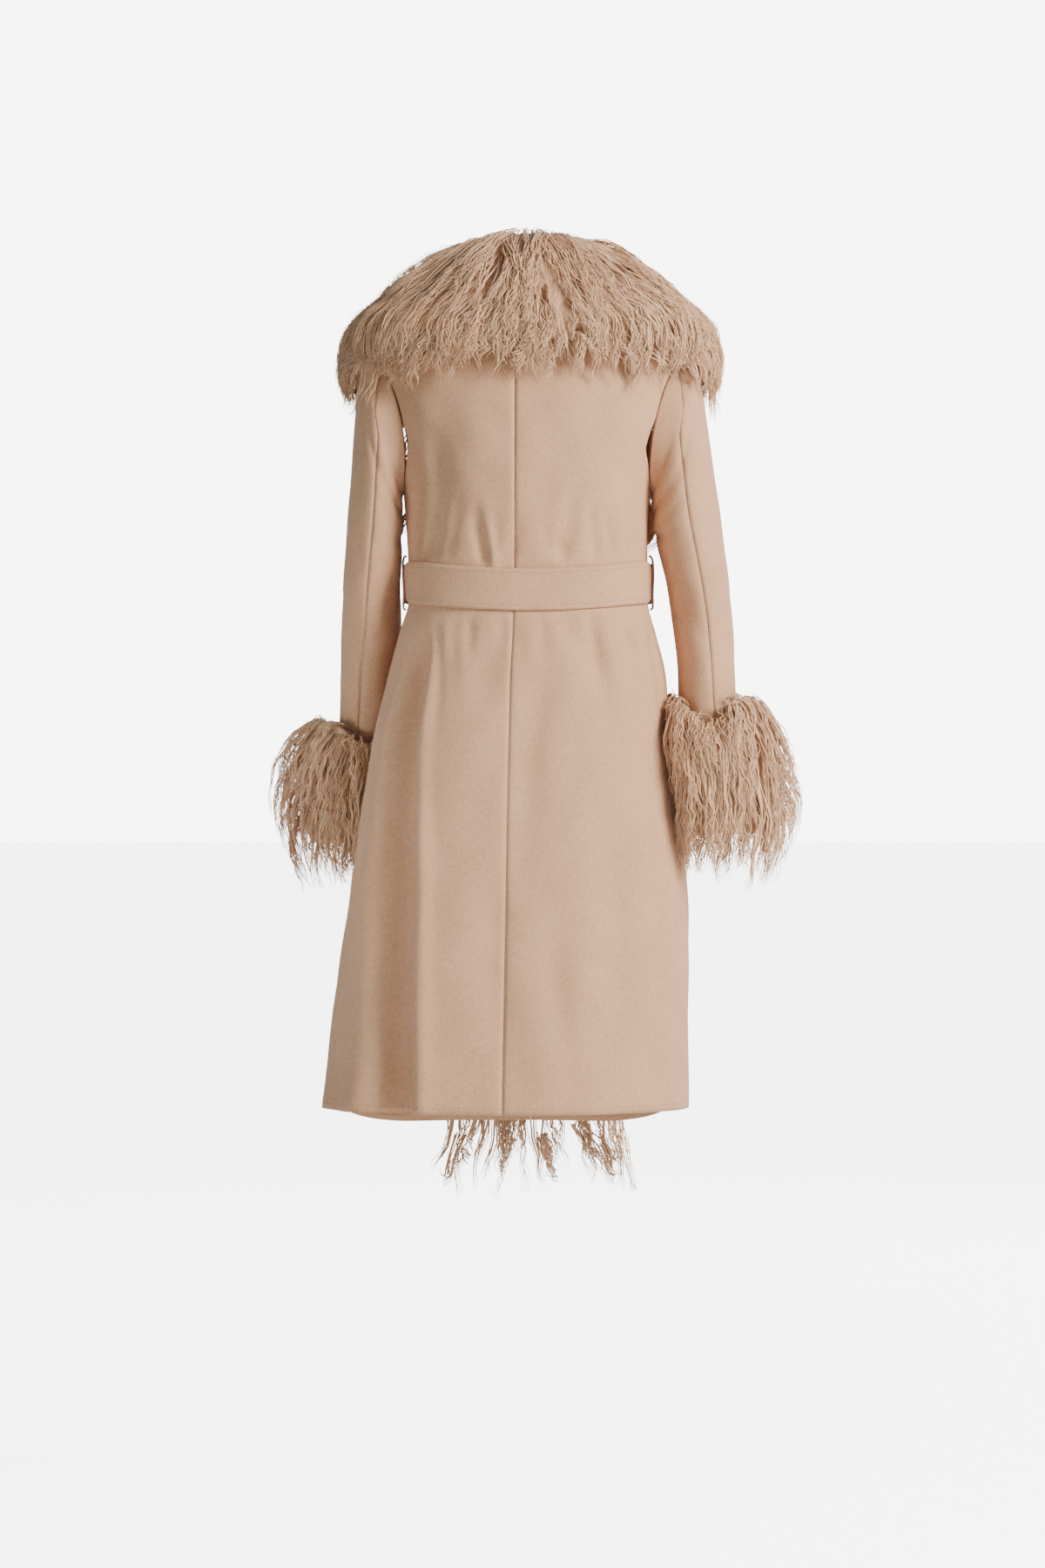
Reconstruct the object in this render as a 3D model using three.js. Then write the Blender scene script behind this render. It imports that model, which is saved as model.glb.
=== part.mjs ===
// A belted wool coat with a long-haired lamb collar, front bands and cuffs, as it hangs when it is worn.
// Millimetres, +Z up. The front of the coat faces -Y and its left sleeve is on the +X side.
// The origin is the middle of the shoulder line, where the coat is held up.
import * as THREE from 'three';

// Driving dimensions of the cloth.
const CLOTH = 2.4;
const SEAM = 0.3;
const NECK_Z = 35;
const SHOULDER_TIP_Z = -35;
const UNDERARM_Z = -215;
const ARMHOLE_HALF_DEPTH = 58;
const BACK_HEM_Z = -961;
const FRONT_HEM_Z = -990;
const SQUARENESS = 2.25;
// Girth radius by which the width of a crease is turned into an angle.
const FOLD_RADIUS = 150;
const SLEEVE_ROWS = 14;
const SLEEVE_RADIUS = 50;
const SLEEVE_SEAM_STANDOFF = 0.7;
const SHOULDER_TIP_X = { left: 195.7, right: 198.7 };

// Driving dimensions of the fur: the pile is measured from the cloth to the tips of the hair.
const FUR_CLEARANCE = 1.3;
const SHOULDER_CLEARANCE = 7.5;
const SLEEVE_HEAD_ROOM = 8;
const LOCK_RELIEF = 5;
const HAIR_BELOW_HEM = 93;
const CUFF_LOCKS = 12;
const HAIR_PAST_HEM = 10;
const TIP_CURVE = 24;
const COLLAR_LEAN = 0.12;
const FUR_SEAM_SHARE = 0.0015;

// Driving dimensions of the belt and its loops.
const BELT_Z = -338;
const BELT_RISE_AT_SIDES = 13;
const BELT_HALF_HEIGHT = 26;
const BELT_THICKNESS = 3.2;
const BELT_CLEARANCE = 1.5;
const BELT_OVER_FUR = 9.8;
const FUR_UNDER_BELT = 4.5;
const GROOVE_HALF_HEIGHT = 31;
const KNOT_HALF_WIDTH = 27;
const KNOT_HALF_HEIGHT = 27;
const KNOT_DEPTH = 20;
const LOOP_WIDTH = 10;
const LOOP_THICKNESS = 2.2;
const LOOP_REACH = 16;
const LOOP_STANDOFF = 1.2;
const BELT_PINCH = 8;
const BELT_STEPS = 48;
const KNOT_WRAP = 4;

// The hanging ends of the belt from the knot down: distance in front of the cloth, sideways shift
// of the middle and half width.
const BELT_ENDS = {
  left: [
    { z: -352.4, out: 11, shift: 13, half: 11 },
    { z: -366, out: 30, shift: 15, half: 15 },
    { z: -384, out: 58, shift: 19, half: 18 },
    { z: -420, out: 66, shift: 26, half: 23 },
    { z: -500, out: 66, shift: 31, half: 25 },
    { z: -655, out: 63, shift: 37, half: 25 },
  ],
  right: [
    { z: -352.4, out: 11, shift: 13, half: 11 },
    { z: -366, out: 30, shift: 15, half: 14 },
    { z: -384, out: 58, shift: 18, half: 17 },
    { z: -420, out: 66, shift: 27, half: 22 },
    { z: -500, out: 66, shift: 33, half: 25 },
    { z: -620, out: 63, shift: 42, half: 25 },
  ],
};

const WOOL = { color: 0xcdb095, roughness: 0.92 };
const LAMB = { color: 0xb8977a, roughness: 0.85 };

// Horizontal sections of the body: how far the cloth reaches to each side, and where it is widest.
const BODY = [
  { z: 35, left: 65, right: 65, back: 54, front: 62, mid: 0 },
  { z: 20, left: 93, right: 93, back: 71, front: 78, mid: 0 },
  { z: 0, left: 130, right: 130, back: 85, front: 91, mid: 0 },
  { z: -20, left: 167, right: 168, back: 94, front: 99, mid: 0 },
  { z: -35, left: 195, right: 198, back: 99, front: 103, mid: 0 },
  { z: -60, left: 189, right: 191, back: 106, front: 109, mid: 0 },
  { z: -110, left: 175, right: 176, back: 114, front: 117, mid: 0 },
  { z: -160, left: 161, right: 161, back: 118, front: 122, mid: 0 },
  { z: -215, left: 150, right: 148, back: 116, front: 122, mid: 0 },
  { z: -270, left: 147, right: 146, back: 109, front: 114, mid: 0 },
  { z: -315, left: 145, right: 146, back: 102, front: 106, mid: 0 },
  { z: -350, left: 145, right: 146, back: 102, front: 104, mid: 0 },
  { z: -385, left: 156, right: 155, back: 113, front: 106, mid: 3 },
  { z: -444, left: 171, right: 168, back: 128, front: 109, mid: 9 },
  { z: -514, left: 190, right: 173, back: 140, front: 113, mid: 14 },
  { z: -600, left: 202, right: 184, back: 148, front: 118, mid: 18 },
  { z: -687, left: 214, right: 194, back: 154, front: 122, mid: 20 },
  { z: -780, left: 229, right: 195, back: 159, front: 126, mid: 20 },
  { z: -961, left: 252, right: 195, back: 166, front: 132, mid: 20 },
];

// Long creases of the body. Angles go from the centre back towards the left, in degrees, at the
// top, middle and bottom of the crease. A negative depth is a ridge.
const FOLDS = [
  { top: -125, bottom: -301, from: 43, via: 43, to: 50, width: 16, depth: 7, fade: 60, hold: 8 },
  { top: -185, bottom: -301, from: -24, via: -21, to: -17, width: 13, depth: 5, fade: 60, hold: 8 },
  { top: -230, bottom: -301, from: 14, via: 15, to: 18, width: 12, depth: 3, fade: 50, hold: 8 },
  { top: -200, bottom: -301, from: -62, via: -60, to: -56, width: 14, depth: 4, fade: 60, hold: 8 },
  { top: -367, bottom: -1100, from: 57, via: 44, to: 33, width: 25, depth: 25, fade: 110, hold: 10 },
  { top: -450, bottom: -1100, from: 47, via: 33, to: 26, width: 15, depth: -9, fade: 200, hold: 10 },
  { top: -367, bottom: -455, from: -15, via: -25, to: -35, width: 13, depth: 6, fade: 14, hold: 60 },
  { top: -367, bottom: -700, from: -58, via: -56, to: -50, width: 26, depth: 6, fade: 60, hold: 200 },
  { top: -367, bottom: -560, from: 18, via: 17, to: 12, width: 22, depth: 3, fade: 40, hold: 120 },
  { top: -367, bottom: -1100, from: 108, via: 112, to: 118, width: 26, depth: 15, fade: 150, hold: 10 },
  { top: -367, bottom: -1100, from: -104, via: -108, to: -116, width: 26, depth: 13, fade: 150, hold: 10 },
];

// Heights of the rows of points on the body panels. Rows below the waist stretch to the hem.
const BODY_ROWS = [
  35, 20, 0, -20, -35, -41, -52, -72, -98, -125, -152, -178, -198, -209, -215, -240, -265, -285, -301, -316,
  -352, -367, -380, -400, -430, -480, -540, -610, -680, -750, -820, -890, -961,
];
const STRETCH_FROM_Z = -400;

// Where the centre-back seam and the neckline run, as distances from the middle plane.
const CENTRE_BACK = [
  { z: 35, x: 9 },
  { z: -35, x: 15 },
  { z: -345, x: 17 },
  { z: -464, x: 22 },
  { z: -961, x: 31 },
];
const NECKLINE = [
  { z: 35, x: 62 },
  { z: 20, x: 60 },
  { z: 0, x: 56 },
  { z: -35, x: 50 },
  { z: -80, x: 41 },
  { z: -150, x: 27 },
  { z: -230, x: 8 },
  { z: -260, x: 0 },
  { z: -1000, x: 0 },
];
const CENTRE_FRONT_X = -4;

// Sections of the sleeves. Each is a slanted oval between its outer and its inner point; seam is
// the angle of the back seam, from the outer point towards the back.
const SLEEVES = {
  left: [
    { outX: 205, outZ: -58, inX: 152.6, inZ: -221, y: 0, half: 61, seam: 88 },
    { outX: 209, outZ: -105, inX: 152.2, inZ: -228, y: -1, half: 62, seam: 88 },
    { outX: 213, outZ: -155, inX: 152, inZ: -240, y: -3, half: 61, seam: 88 },
    { outX: 217, outZ: -210, inX: 151.5, inZ: -260, y: -6, half: 60, seam: 87 },
    { outX: 221, outZ: -262, inX: 153, inZ: -286, y: -11, half: 59, seam: 86 },
    { outX: 226, outZ: -322, inX: 156, inZ: -328, y: -24, half: 58, seam: 84 },
    { outX: 229, outZ: -375, inX: 155, inZ: -375, y: -42, half: 57, seam: 80 },
    { outX: 231, outZ: -432, inX: 159, inZ: -432, y: -64, half: 56, seam: 76 },
    { outX: 233, outZ: -490, inX: 162, inZ: -490, y: -86, half: 55, seam: 74 },
    { outX: 237, outZ: -545, inX: 168, inZ: -545, y: -101, half: 53, seam: 74 },
    { outX: 240, outZ: -600, inX: 173, inZ: -600, y: -112, half: 51, seam: 74 },
  ],
  right: [
    { outX: 209, outZ: -58, inX: 150.6, inZ: -221, y: 0, half: 61, seam: 88 },
    { outX: 215, outZ: -105, inX: 150.4, inZ: -228, y: 0, half: 62, seam: 88 },
    { outX: 222, outZ: -155, inX: 150.4, inZ: -240, y: 0, half: 61, seam: 88 },
    { outX: 230, outZ: -210, inX: 151, inZ: -260, y: 0, half: 60, seam: 88 },
    { outX: 237, outZ: -262, inX: 157, inZ: -280, y: 0, half: 59, seam: 88 },
    { outX: 245, outZ: -322, inX: 168, inZ: -322, y: 1, half: 58, seam: 87 },
    { outX: 250, outZ: -375, inX: 176, inZ: -375, y: 3, half: 57, seam: 85 },
    { outX: 252, outZ: -432, inX: 182, inZ: -432, y: 8, half: 56, seam: 83 },
    { outX: 254, outZ: -490, inX: 184, inZ: -490, y: 14, half: 55, seam: 81 },
    { outX: 259, outZ: -545, inX: 192, inZ: -545, y: 18, half: 53, seam: 81 },
    { outX: 265, outZ: -600, inX: 200, inZ: -600, y: 21, half: 51, seam: 81 },
  ],
};
const FRONT_SLEEVE_SEAM = 70;
// Below this height the sections of the sleeves are level.
const LEVEL_SLEEVE_Z = -432;

// Creases of the sleeves: rows along the sleeve, angle round it, size across and along, slope.
const SLEEVE_CREASES = [
  { row: 3.1, angle: 150, across: 0.55, along: 0.35, slope: 0.5, depth: 5 },
  { row: 4.6, angle: 165, across: 0.6, along: 0.3, slope: -0.4, depth: 4 },
  { row: 5.6, angle: 60, across: 0.5, along: 0.3, slope: 0.6, depth: 3 },
  { row: 6.6, angle: 130, across: 0.6, along: 0.3, slope: 0.5, depth: 4 },
  { row: 7.6, angle: 40, across: 0.6, along: 0.3, slope: -0.5, depth: 3 },
];

// The collar from the centre back to the top of the lapel: where the edge of the skin at the neck
// and its outer edge lie on the cloth, and how much of the pile stands up round the neck.
const COLLAR = [
  { s: 0, inAngle: 0, inZ: 34, outAngle: 0, outZ: -60, stand: 1 },
  { s: 0.2, inAngle: 40, inZ: 34, outAngle: 34, outZ: -60, stand: 1 },
  { s: 0.4, inAngle: 75, inZ: 34, outAngle: 68, outZ: -62, stand: 1 },
  { s: 0.55, inAngle: 95, inZ: 34, outAngle: 90, outZ: -66, stand: 1 },
  { s: 0.72, inAngle: 120, inZ: 28, outAngle: 112, outZ: -78, stand: 0.8 },
];
const LAPEL_SEAM_FROM = 0.8;

// Pile over the width of a fur piece: w runs from the inner edge of the skin to its outer edge and
// on to the tips of the hair, and lift is the share of the pile that stands straight up.
const COLLAR_PILE = [
  { w: 0, thick: 73, lift: 1 },
  { w: 0.12, thick: 71, lift: 0.75 },
  { w: 0.3, thick: 62, lift: 0.25 },
  { w: 0.52, thick: 56, lift: 0 },
  { w: 0.75, thick: 44, lift: 0 },
  { w: 1, thick: 30, lift: 0 },
  { w: 1.28, thick: 12, lift: 0 },
];
const FRONT_PILE = [
  { w: 0, thick: 38 },
  { w: 0.2, thick: 48 },
  { w: 0.55, thick: 48 },
  { w: 0.85, thick: 42 },
  { w: 1, thick: 30 },
  { w: 1.34, thick: 10 },
];

// The fur down each front: heights of the inner and outer ends of its rows, and how far the skin
// and the hair beyond it reach sideways.
const FRONT_FUR = [
  { s: 0, inZ: -30, outZ: -118, reach: 132, hair: 36 },
  { s: 0.1, inZ: -110, outZ: -165, reach: 131, hair: 38 },
  { s: 0.2, inZ: -205, outZ: -225, reach: 129, hair: 38 },
  { s: 0.3, inZ: -294, outZ: -294, reach: 126, hair: 38 },
  { s: 0.37, inZ: -356, outZ: -356, reach: 114, hair: 38 },
  { s: 0.42, inZ: -405, outZ: -405, reach: 106, hair: 36 },
  { s: 0.55, inZ: -545, outZ: -545, reach: 97, hair: 32 },
  { s: 0.75, inZ: -740, outZ: -740, reach: 96, hair: 32 },
  { s: 1, inZ: -1083, outZ: -1083, reach: 92, hair: 34 },
];

// Rows of the front fur: how many lie above the belt's groove, in it and below it.
const FRONT_FUR_ROWS = [12, 2, 28];

// Reach of the cuffs' hair from the middle of the sleeve, by direction from the outer side
// towards the back, before the hair is pressed flat against the skirt.
const CUFF_REACH = [
  { angle: 0, left: 112, right: 98 },
  { angle: 60, left: 104, right: 98 },
  { angle: 120, left: 92, right: 92 },
  { angle: 180, left: 58, right: 66 },
  { angle: 240, left: 74, right: 84 },
  { angle: 300, left: 100, right: 94 },
  { angle: 360, left: 112, right: 98 },
];
// Profile of a cuff from the foot of its upper hollow, over its upper edge and down: share of the
// cuff's height and share of the reach.
const CUFF_PROFILE = [
  { i: 0, down: 0.14, outer: 0.06 },
  { i: 1, down: 0, outer: 0.42 },
  { i: 2, down: 0.07, outer: 0.72 },
  { i: 3, down: 0.25, outer: 0.95 },
  { i: 4, down: 0.48, outer: 1 },
  { i: 5, down: 0.7, outer: 0.94 },
  { i: 6, down: 0.88, outer: 0.76 },
  { i: 7, down: 1, outer: 0.42 },
];
const CUFF_HEIGHTS = {
  left: { top: -492, bottom: -686 },
  right: { top: -466, bottom: -676 },
};
// Room between the sleeve and the skin of the cuff, by share of the cuff's height.
const CUFF_ROOM = [
  { down: 0, room: 5 },
  { down: 0.14, room: 5 },
  { down: 0.4, room: 2.5 },
  { down: 0.6, room: 1.4 },
  { down: 1, room: 1 },
];
// Clearance of the cuff's skin and of its hair from the skirt.
const CUFF_SKIN_CLEARANCE = 2.5;
const CUFF_HAIR_CLEARANCE = 4;
const CUFF_COLUMNS = 34;
const CUFF_ROWS = 14;

const radians = THREE.MathUtils.degToRad;
const clamp = THREE.MathUtils.clamp;
const smooth = (value) => THREE.MathUtils.smoothstep(value, 0, 1);
const mix = THREE.MathUtils.lerp;

// One column of a table at a key value, on a smooth curve through the rows.
function along(table, key, column, at) {
  const last = table.length - 1;
  const direction = Math.sign(table[last][key] - table[0][key]);
  let i = 0;
  while (i < last - 1 && direction * (at - table[i + 1][key]) > 0) i += 1;
  const slopeAt = (row) => {
    const before = table[Math.max(row - 1, 0)];
    const after = table[Math.min(row + 1, last)];
    return (after[column] - before[column]) / (after[key] - before[key]);
  };
  const span = table[i + 1][key] - table[i][key];
  const t = clamp((at - table[i][key]) / span, 0, 1);
  const startShare = 2 * t ** 3 - 3 * t ** 2 + 1;
  const start = table[i][column] * startShare + slopeAt(i) * span * (t ** 3 - 2 * t ** 2 + t);
  const end = table[i + 1][column] * (1 - startShare) + slopeAt(i + 1) * span * (t ** 3 - t ** 2);
  return start + end;
}

// A wall between an outer and an inner grid of points, closed round its rims. With round set, the
// last column joins the first.
function wall(columns, rows, outer, inner, round = false) {
  const across = round ? columns : columns + 1;
  const positions = [];
  for (const side of [outer, inner]) {
    for (let r = 0; r <= rows; r += 1) {
      for (let c = 0; c < across; c += 1) positions.push(...side(c / columns, r / rows).toArray());
    }
  }
  const layer = across * (rows + 1);
  const outerAt = (c, r) => r * across + (c % across);
  const innerAt = (c, r) => layer + outerAt(c, r);
  const faces = [];
  const quad = (a, b, c, d) => faces.push(a, b, c, a, c, d);
  for (let r = 0; r < rows; r += 1) {
    for (let c = 0; c < columns; c += 1) {
      quad(outerAt(c, r), outerAt(c + 1, r), outerAt(c + 1, r + 1), outerAt(c, r + 1));
      quad(innerAt(c, r), innerAt(c, r + 1), innerAt(c + 1, r + 1), innerAt(c + 1, r));
    }
  }
  for (let c = 0; c < columns; c += 1) {
    quad(outerAt(c, 0), innerAt(c, 0), innerAt(c + 1, 0), outerAt(c + 1, 0));
    quad(outerAt(c, rows), outerAt(c + 1, rows), innerAt(c + 1, rows), innerAt(c, rows));
  }
  for (let r = 0; r < rows && !round; r += 1) {
    quad(outerAt(0, r), outerAt(0, r + 1), innerAt(0, r + 1), innerAt(0, r));
    quad(outerAt(columns, r), innerAt(columns, r), innerAt(columns, r + 1), outerAt(columns, r + 1));
  }
  const geometry = new THREE.BufferGeometry();
  geometry.setAttribute('position', new THREE.Float32BufferAttribute(positions, 3));
  geometry.setIndex(facingOut(positions, faces));
  geometry.computeVertexNormals();
  return geometry;
}

// Turns the triangles over when the volume that they enclose comes out negative.
function facingOut(positions, faces) {
  const point = (i) => new THREE.Vector3().fromArray(positions, 3 * i);
  let volume = 0;
  for (let i = 0; i < faces.length; i += 3) {
    volume += point(faces[i]).dot(point(faces[i + 1]).cross(point(faces[i + 2])));
  }
  if (volume > 0) return faces;
  const turned = [];
  for (let i = 0; i < faces.length; i += 3) turned.push(faces[i], faces[i + 2], faces[i + 1]);
  return turned;
}

// The body.

function foldDepth(angle, z) {
  let depth = 0;
  for (const fold of FOLDS) {
    const run = (fold.top - z) / (fold.top - fold.bottom);
    if (run <= 0 || run >= 1) continue;
    const bend = 4 * run * (1 - run) * (fold.via - (fold.from + fold.to) / 2);
    const centre = radians(mix(fold.from, fold.to, run) + bend);
    const away = ((angle - centre) * FOLD_RADIUS) / fold.width;
    const fade = smooth((fold.top - z) / fold.fade) * smooth((z - fold.bottom) / fold.hold);
    depth += fold.depth * fade * Math.exp(-away * away);
  }
  return depth;
}

function bodyPoint(angle, z) {
  const left = along(BODY, 'z', 'left', z);
  const right = along(BODY, 'z', 'right', z);
  const mid = along(BODY, 'z', 'mid', z);
  const s = Math.sin(angle);
  const c = Math.cos(angle);
  const depth = c > 0 ? along(BODY, 'z', 'back', z) - mid : along(BODY, 'z', 'front', z) + mid;
  const half = (left + right) / 2;
  const swell = (Math.abs(s) ** SQUARENESS + Math.abs(c) ** SQUARENESS) ** (-1 / SQUARENESS);
  const outward = new THREE.Vector3(s / half, c / depth, 0).normalize();
  const point = new THREE.Vector3((left - right) / 2 + half * s * swell, mid + depth * c * swell, z);
  return point.addScaledVector(outward, -foldDepth(angle, z));
}

// The direction out of a surface that is given by an angle and a height.
function normalOf(surface, angle, z, stepAngle, stepZ) {
  const round = surface(angle + stepAngle, z).sub(surface(angle - stepAngle, z));
  const down = surface(angle, z - stepZ).sub(surface(angle, z + stepZ));
  return round.cross(down).normalize();
}

function bodyNormal(angle, z) {
  const level = Math.min(z, NECK_Z - 2);
  return normalOf(bodyPoint, angle, level, 0.01, 2);
}

// The angle at which a section of the body reaches a given x, searched between two angles.
function angleAtX(x, z, from, to) {
  const rising = bodyPoint(to, z).x > bodyPoint(from, z).x;
  let low = from;
  let high = to;
  for (let step = 0; step < 40; step += 1) {
    const middle = (low + high) / 2;
    if (bodyPoint(middle, z).x < x === rising) low = middle;
    else high = middle;
  }
  return (low + high) / 2;
}

// The angle of the armhole's edge: side is 1 on the left and -1 on the right, face is 1 at the
// back and -1 in front.
function armholeAngle(side, face, z) {
  const share = (z - (SHOULDER_TIP_Z + UNDERARM_Z) / 2) / ((SHOULDER_TIP_Z - UNDERARM_Z) / 2);
  if (Math.abs(share) >= 1) return (side * Math.PI) / 2;
  const y = face * ARMHOLE_HALF_DEPTH * Math.sqrt(1 - share * share);
  let low = 0;
  let high = Math.PI / 2;
  for (let step = 0; step < 40; step += 1) {
    const middle = (low + high) / 2;
    const angle = side * (face > 0 ? middle : Math.PI - middle);
    if (Math.abs(bodyPoint(angle, z).y) > Math.abs(y)) low = middle;
    else high = middle;
  }
  return side * (face > 0 ? low : Math.PI - low);
}

function hemZ(angle) {
  const share = smooth((Math.abs(THREE.MathUtils.radToDeg(angle)) - 95) / 55);
  return mix(BACK_HEM_Z, FRONT_HEM_Z, share);
}

// The height of a row of panel points, with the rows of the skirt stretched to the hem.
function rowHeight(row, angle) {
  const low = Math.floor(row);
  const high = Math.min(low + 1, BODY_ROWS.length - 1);
  const level = mix(BODY_ROWS[low], BODY_ROWS[high], row - low);
  if (level > STRETCH_FROM_Z) return level;
  const share = (STRETCH_FROM_Z - level) / (STRETCH_FROM_Z - BACK_HEM_Z);
  return mix(STRETCH_FROM_Z, hemZ(angle), share);
}

// One body panel between its middle edge and its side edge, each an angle by height. The side edge
// leaves the side seam at the armhole, where the columns near it give way most.
function bodyPanel(side, columns, middleAngle, sideEdgeAngle) {
  const rows = BODY_ROWS.length - 1;
  const sideSeam = (side * Math.PI) / 2;
  const place = (u, v) => {
    const level = rowHeight(v * rows, sideSeam);
    const middle = middleAngle(level);
    const edge = sideEdgeAngle(level);
    const direction = Math.sign(sideSeam - middle);
    const ahead = 0.01;
    const perRadian = (angle) => {
      return bodyPoint(angle + ahead, level).distanceTo(bodyPoint(angle, level)) / ahead;
    };
    const from = middle + (direction * SEAM) / 2 / perRadian(middle);
    const to = sideSeam - (direction * SEAM) / 2 / perRadian(sideSeam);
    const angle = mix(from, to, u) + (edge - sideSeam) * u * u;
    return { angle, z: rowHeight(v * rows, angle) };
  };
  const outer = (u, v) => {
    const { angle, z } = place(u, v);
    return bodyPoint(angle, z);
  };
  const inner = (u, v) => {
    const { angle, z } = place(u, v);
    return bodyPoint(angle, z).addScaledVector(bodyNormal(angle, z), -CLOTH);
  };
  return wall(columns, rows, outer, inner);
}

function centreBackAngle(z) {
  return angleAtX(along(CENTRE_BACK, 'z', 'x', z), z, -1, 1);
}

function necklineAngle(side, z) {
  const reach = Math.max(along(NECKLINE, 'z', 'x', z), 0);
  const x = CENTRE_FRONT_X * smooth((NECK_Z - z) / 200) + side * reach;
  const middle = side > 0 ? Math.PI : -Math.PI;
  return angleAtX(x, z, side * (Math.PI / 2 + 0.12), middle * 1.1);
}

// The sleeves.

function armholePoint(side, turn) {
  const z = mix(UNDERARM_Z, SHOULDER_TIP_Z, (1 + Math.cos(turn)) / 2);
  const face = Math.sin(turn) >= 0 ? 1 : -1;
  const point = bodyPoint(armholeAngle(side, face, z), z);
  point.x += side * SLEEVE_SEAM_STANDOFF;
  return point;
}

function sleeveCrease(side, turn, row) {
  let depth = 0;
  for (const crease of SLEEVE_CREASES) {
    const round = (turn - radians(crease.angle)) / crease.across;
    const down = (row - crease.row - crease.slope * round * 0.4) / crease.along;
    depth += crease.depth * Math.exp(-round * round - down * down);
  }
  return depth;
}

// A point of a sleeve: turn is 0 at the outer side and grows towards the back, row is 0 at the
// armhole and counts the rows of the table.
function sleevePoint(side, turn, row, inset = 0) {
  const table = SLEEVES[side > 0 ? 'left' : 'right'];
  const at = (column, index) => {
    const rows = table.map((entry, i) => ({ i: i + 1, value: entry[column] }));
    return along(rows, 'i', 'value', index);
  };
  const index = Math.max(row, 1);
  const out = new THREE.Vector3(side * at('outX', index), at('y', index), at('outZ', index));
  const into = new THREE.Vector3(side * at('inX', index), at('y', index), at('inZ', index));
  const centre = out.clone().add(into).multiplyScalar(0.5);
  const half = out.clone().sub(into).multiplyScalar(0.5);
  const depth = at('half', index);
  const point = centre.clone().addScaledVector(half, Math.cos(turn));
  point.y += depth * Math.sin(turn);
  const hole = armholePoint(side, turn);
  const middle = new THREE.Vector3(hole.x, 0, (SHOULDER_TIP_Z + UNDERARM_Z) / 2);
  const share = clamp(row, 0, 1);
  point.lerp(hole, 1 - share);
  centre.lerp(middle, 1 - share);
  const inward = centre.clone().sub(point).normalize();
  return point.addScaledVector(inward, inset + sleeveCrease(side, turn, row));
}

function backSeamTurn(side, row) {
  const table = SLEEVES[side > 0 ? 'left' : 'right'];
  const rows = table.map((entry, i) => ({ i: i + 1, value: entry.seam }));
  return radians(along(rows, 'i', 'value', Math.max(row, 1)));
}

function sleevePiece(side, columns, startTurn, endTurn) {
  const last = SLEEVES.left.length;
  const rowAt = (v) => last * (0.35 * v * v + 0.65 * v);
  const turnAt = (u, row) => {
    const shift = SEAM / 2 / SLEEVE_RADIUS;
    return mix(startTurn(row) + shift, endTurn(row) - shift, u);
  };
  const outer = (u, v) => sleevePoint(side, turnAt(u, rowAt(v)), rowAt(v));
  const inner = (u, v) => sleevePoint(side, turnAt(u, rowAt(v)), rowAt(v), CLOTH);
  return wall(columns, SLEEVE_ROWS, outer, inner);
}

// The fur.

// The outermost cloth at an angle and height: the body, or the head of the sleeve where it bulges
// past the body.
function coverPoint(angle, z) {
  const body = bodyPoint(angle, z);
  const side = Math.sin(angle) >= 0 ? 1 : -1;
  if (z > SHOULDER_TIP_Z || z < UNDERARM_Z) return body;
  const name = side > 0 ? 'left' : 'right';
  const head = [{ outZ: SHOULDER_TIP_Z, outX: SHOULDER_TIP_X[name] }, ...SLEEVES[name]];
  const reach = along(head, 'outZ', 'outX', z) + 2;
  const middle = (SHOULDER_TIP_Z + UNDERARM_Z) / 2;
  const share = clamp((z - middle) / ((SHOULDER_TIP_Z - UNDERARM_Z) / 2), -1, 1);
  const depth = ARMHOLE_HALF_DEPTH + SLEEVE_HEAD_ROOM;
  const half = z < middle ? depth : depth * Math.sqrt(1 - share * share) + 2;
  const edge = Math.abs(bodyPoint(armholeAngle(side, 1, z), z).x) - 4;
  const dx = Math.abs(body.x);
  const dy = body.y;
  const a = (dx * dx) / (reach - edge) ** 2 + (dy * dy) / half ** 2;
  const b = (-2 * dx * edge) / (reach - edge) ** 2;
  const c = edge ** 2 / (reach - edge) ** 2 - 1;
  const inside = b * b - 4 * a * c;
  if (inside <= 0) return body;
  const scale = (-b + Math.sqrt(inside)) / (2 * a);
  if (scale <= 1) return body;
  return new THREE.Vector3(body.x * scale, body.y * scale, z);
}

function coverNormal(angle, z) {
  return normalOf(coverPoint, angle, Math.min(z, NECK_Z - 9), 0.1, 8);
}

// Ridges that the locks raise in the pile, along and across a fur piece.
function lockRelief(s, w, count) {
  const phase = 2 * Math.PI * count * s + 1.3 * Math.sin(5 * w + 2 * s);
  const cross = Math.sin(9 * w + 3 * Math.sin(7 * s * Math.PI));
  return LOCK_RELIEF * (Math.sin(phase) + 0.35 * cross);
}

// How much of the pile is left under the belt.
function beltPress(angle, z) {
  return smooth((Math.abs(z - beltHeight(angle)) - GROOVE_HALF_HEIGHT) / 34);
}

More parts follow.
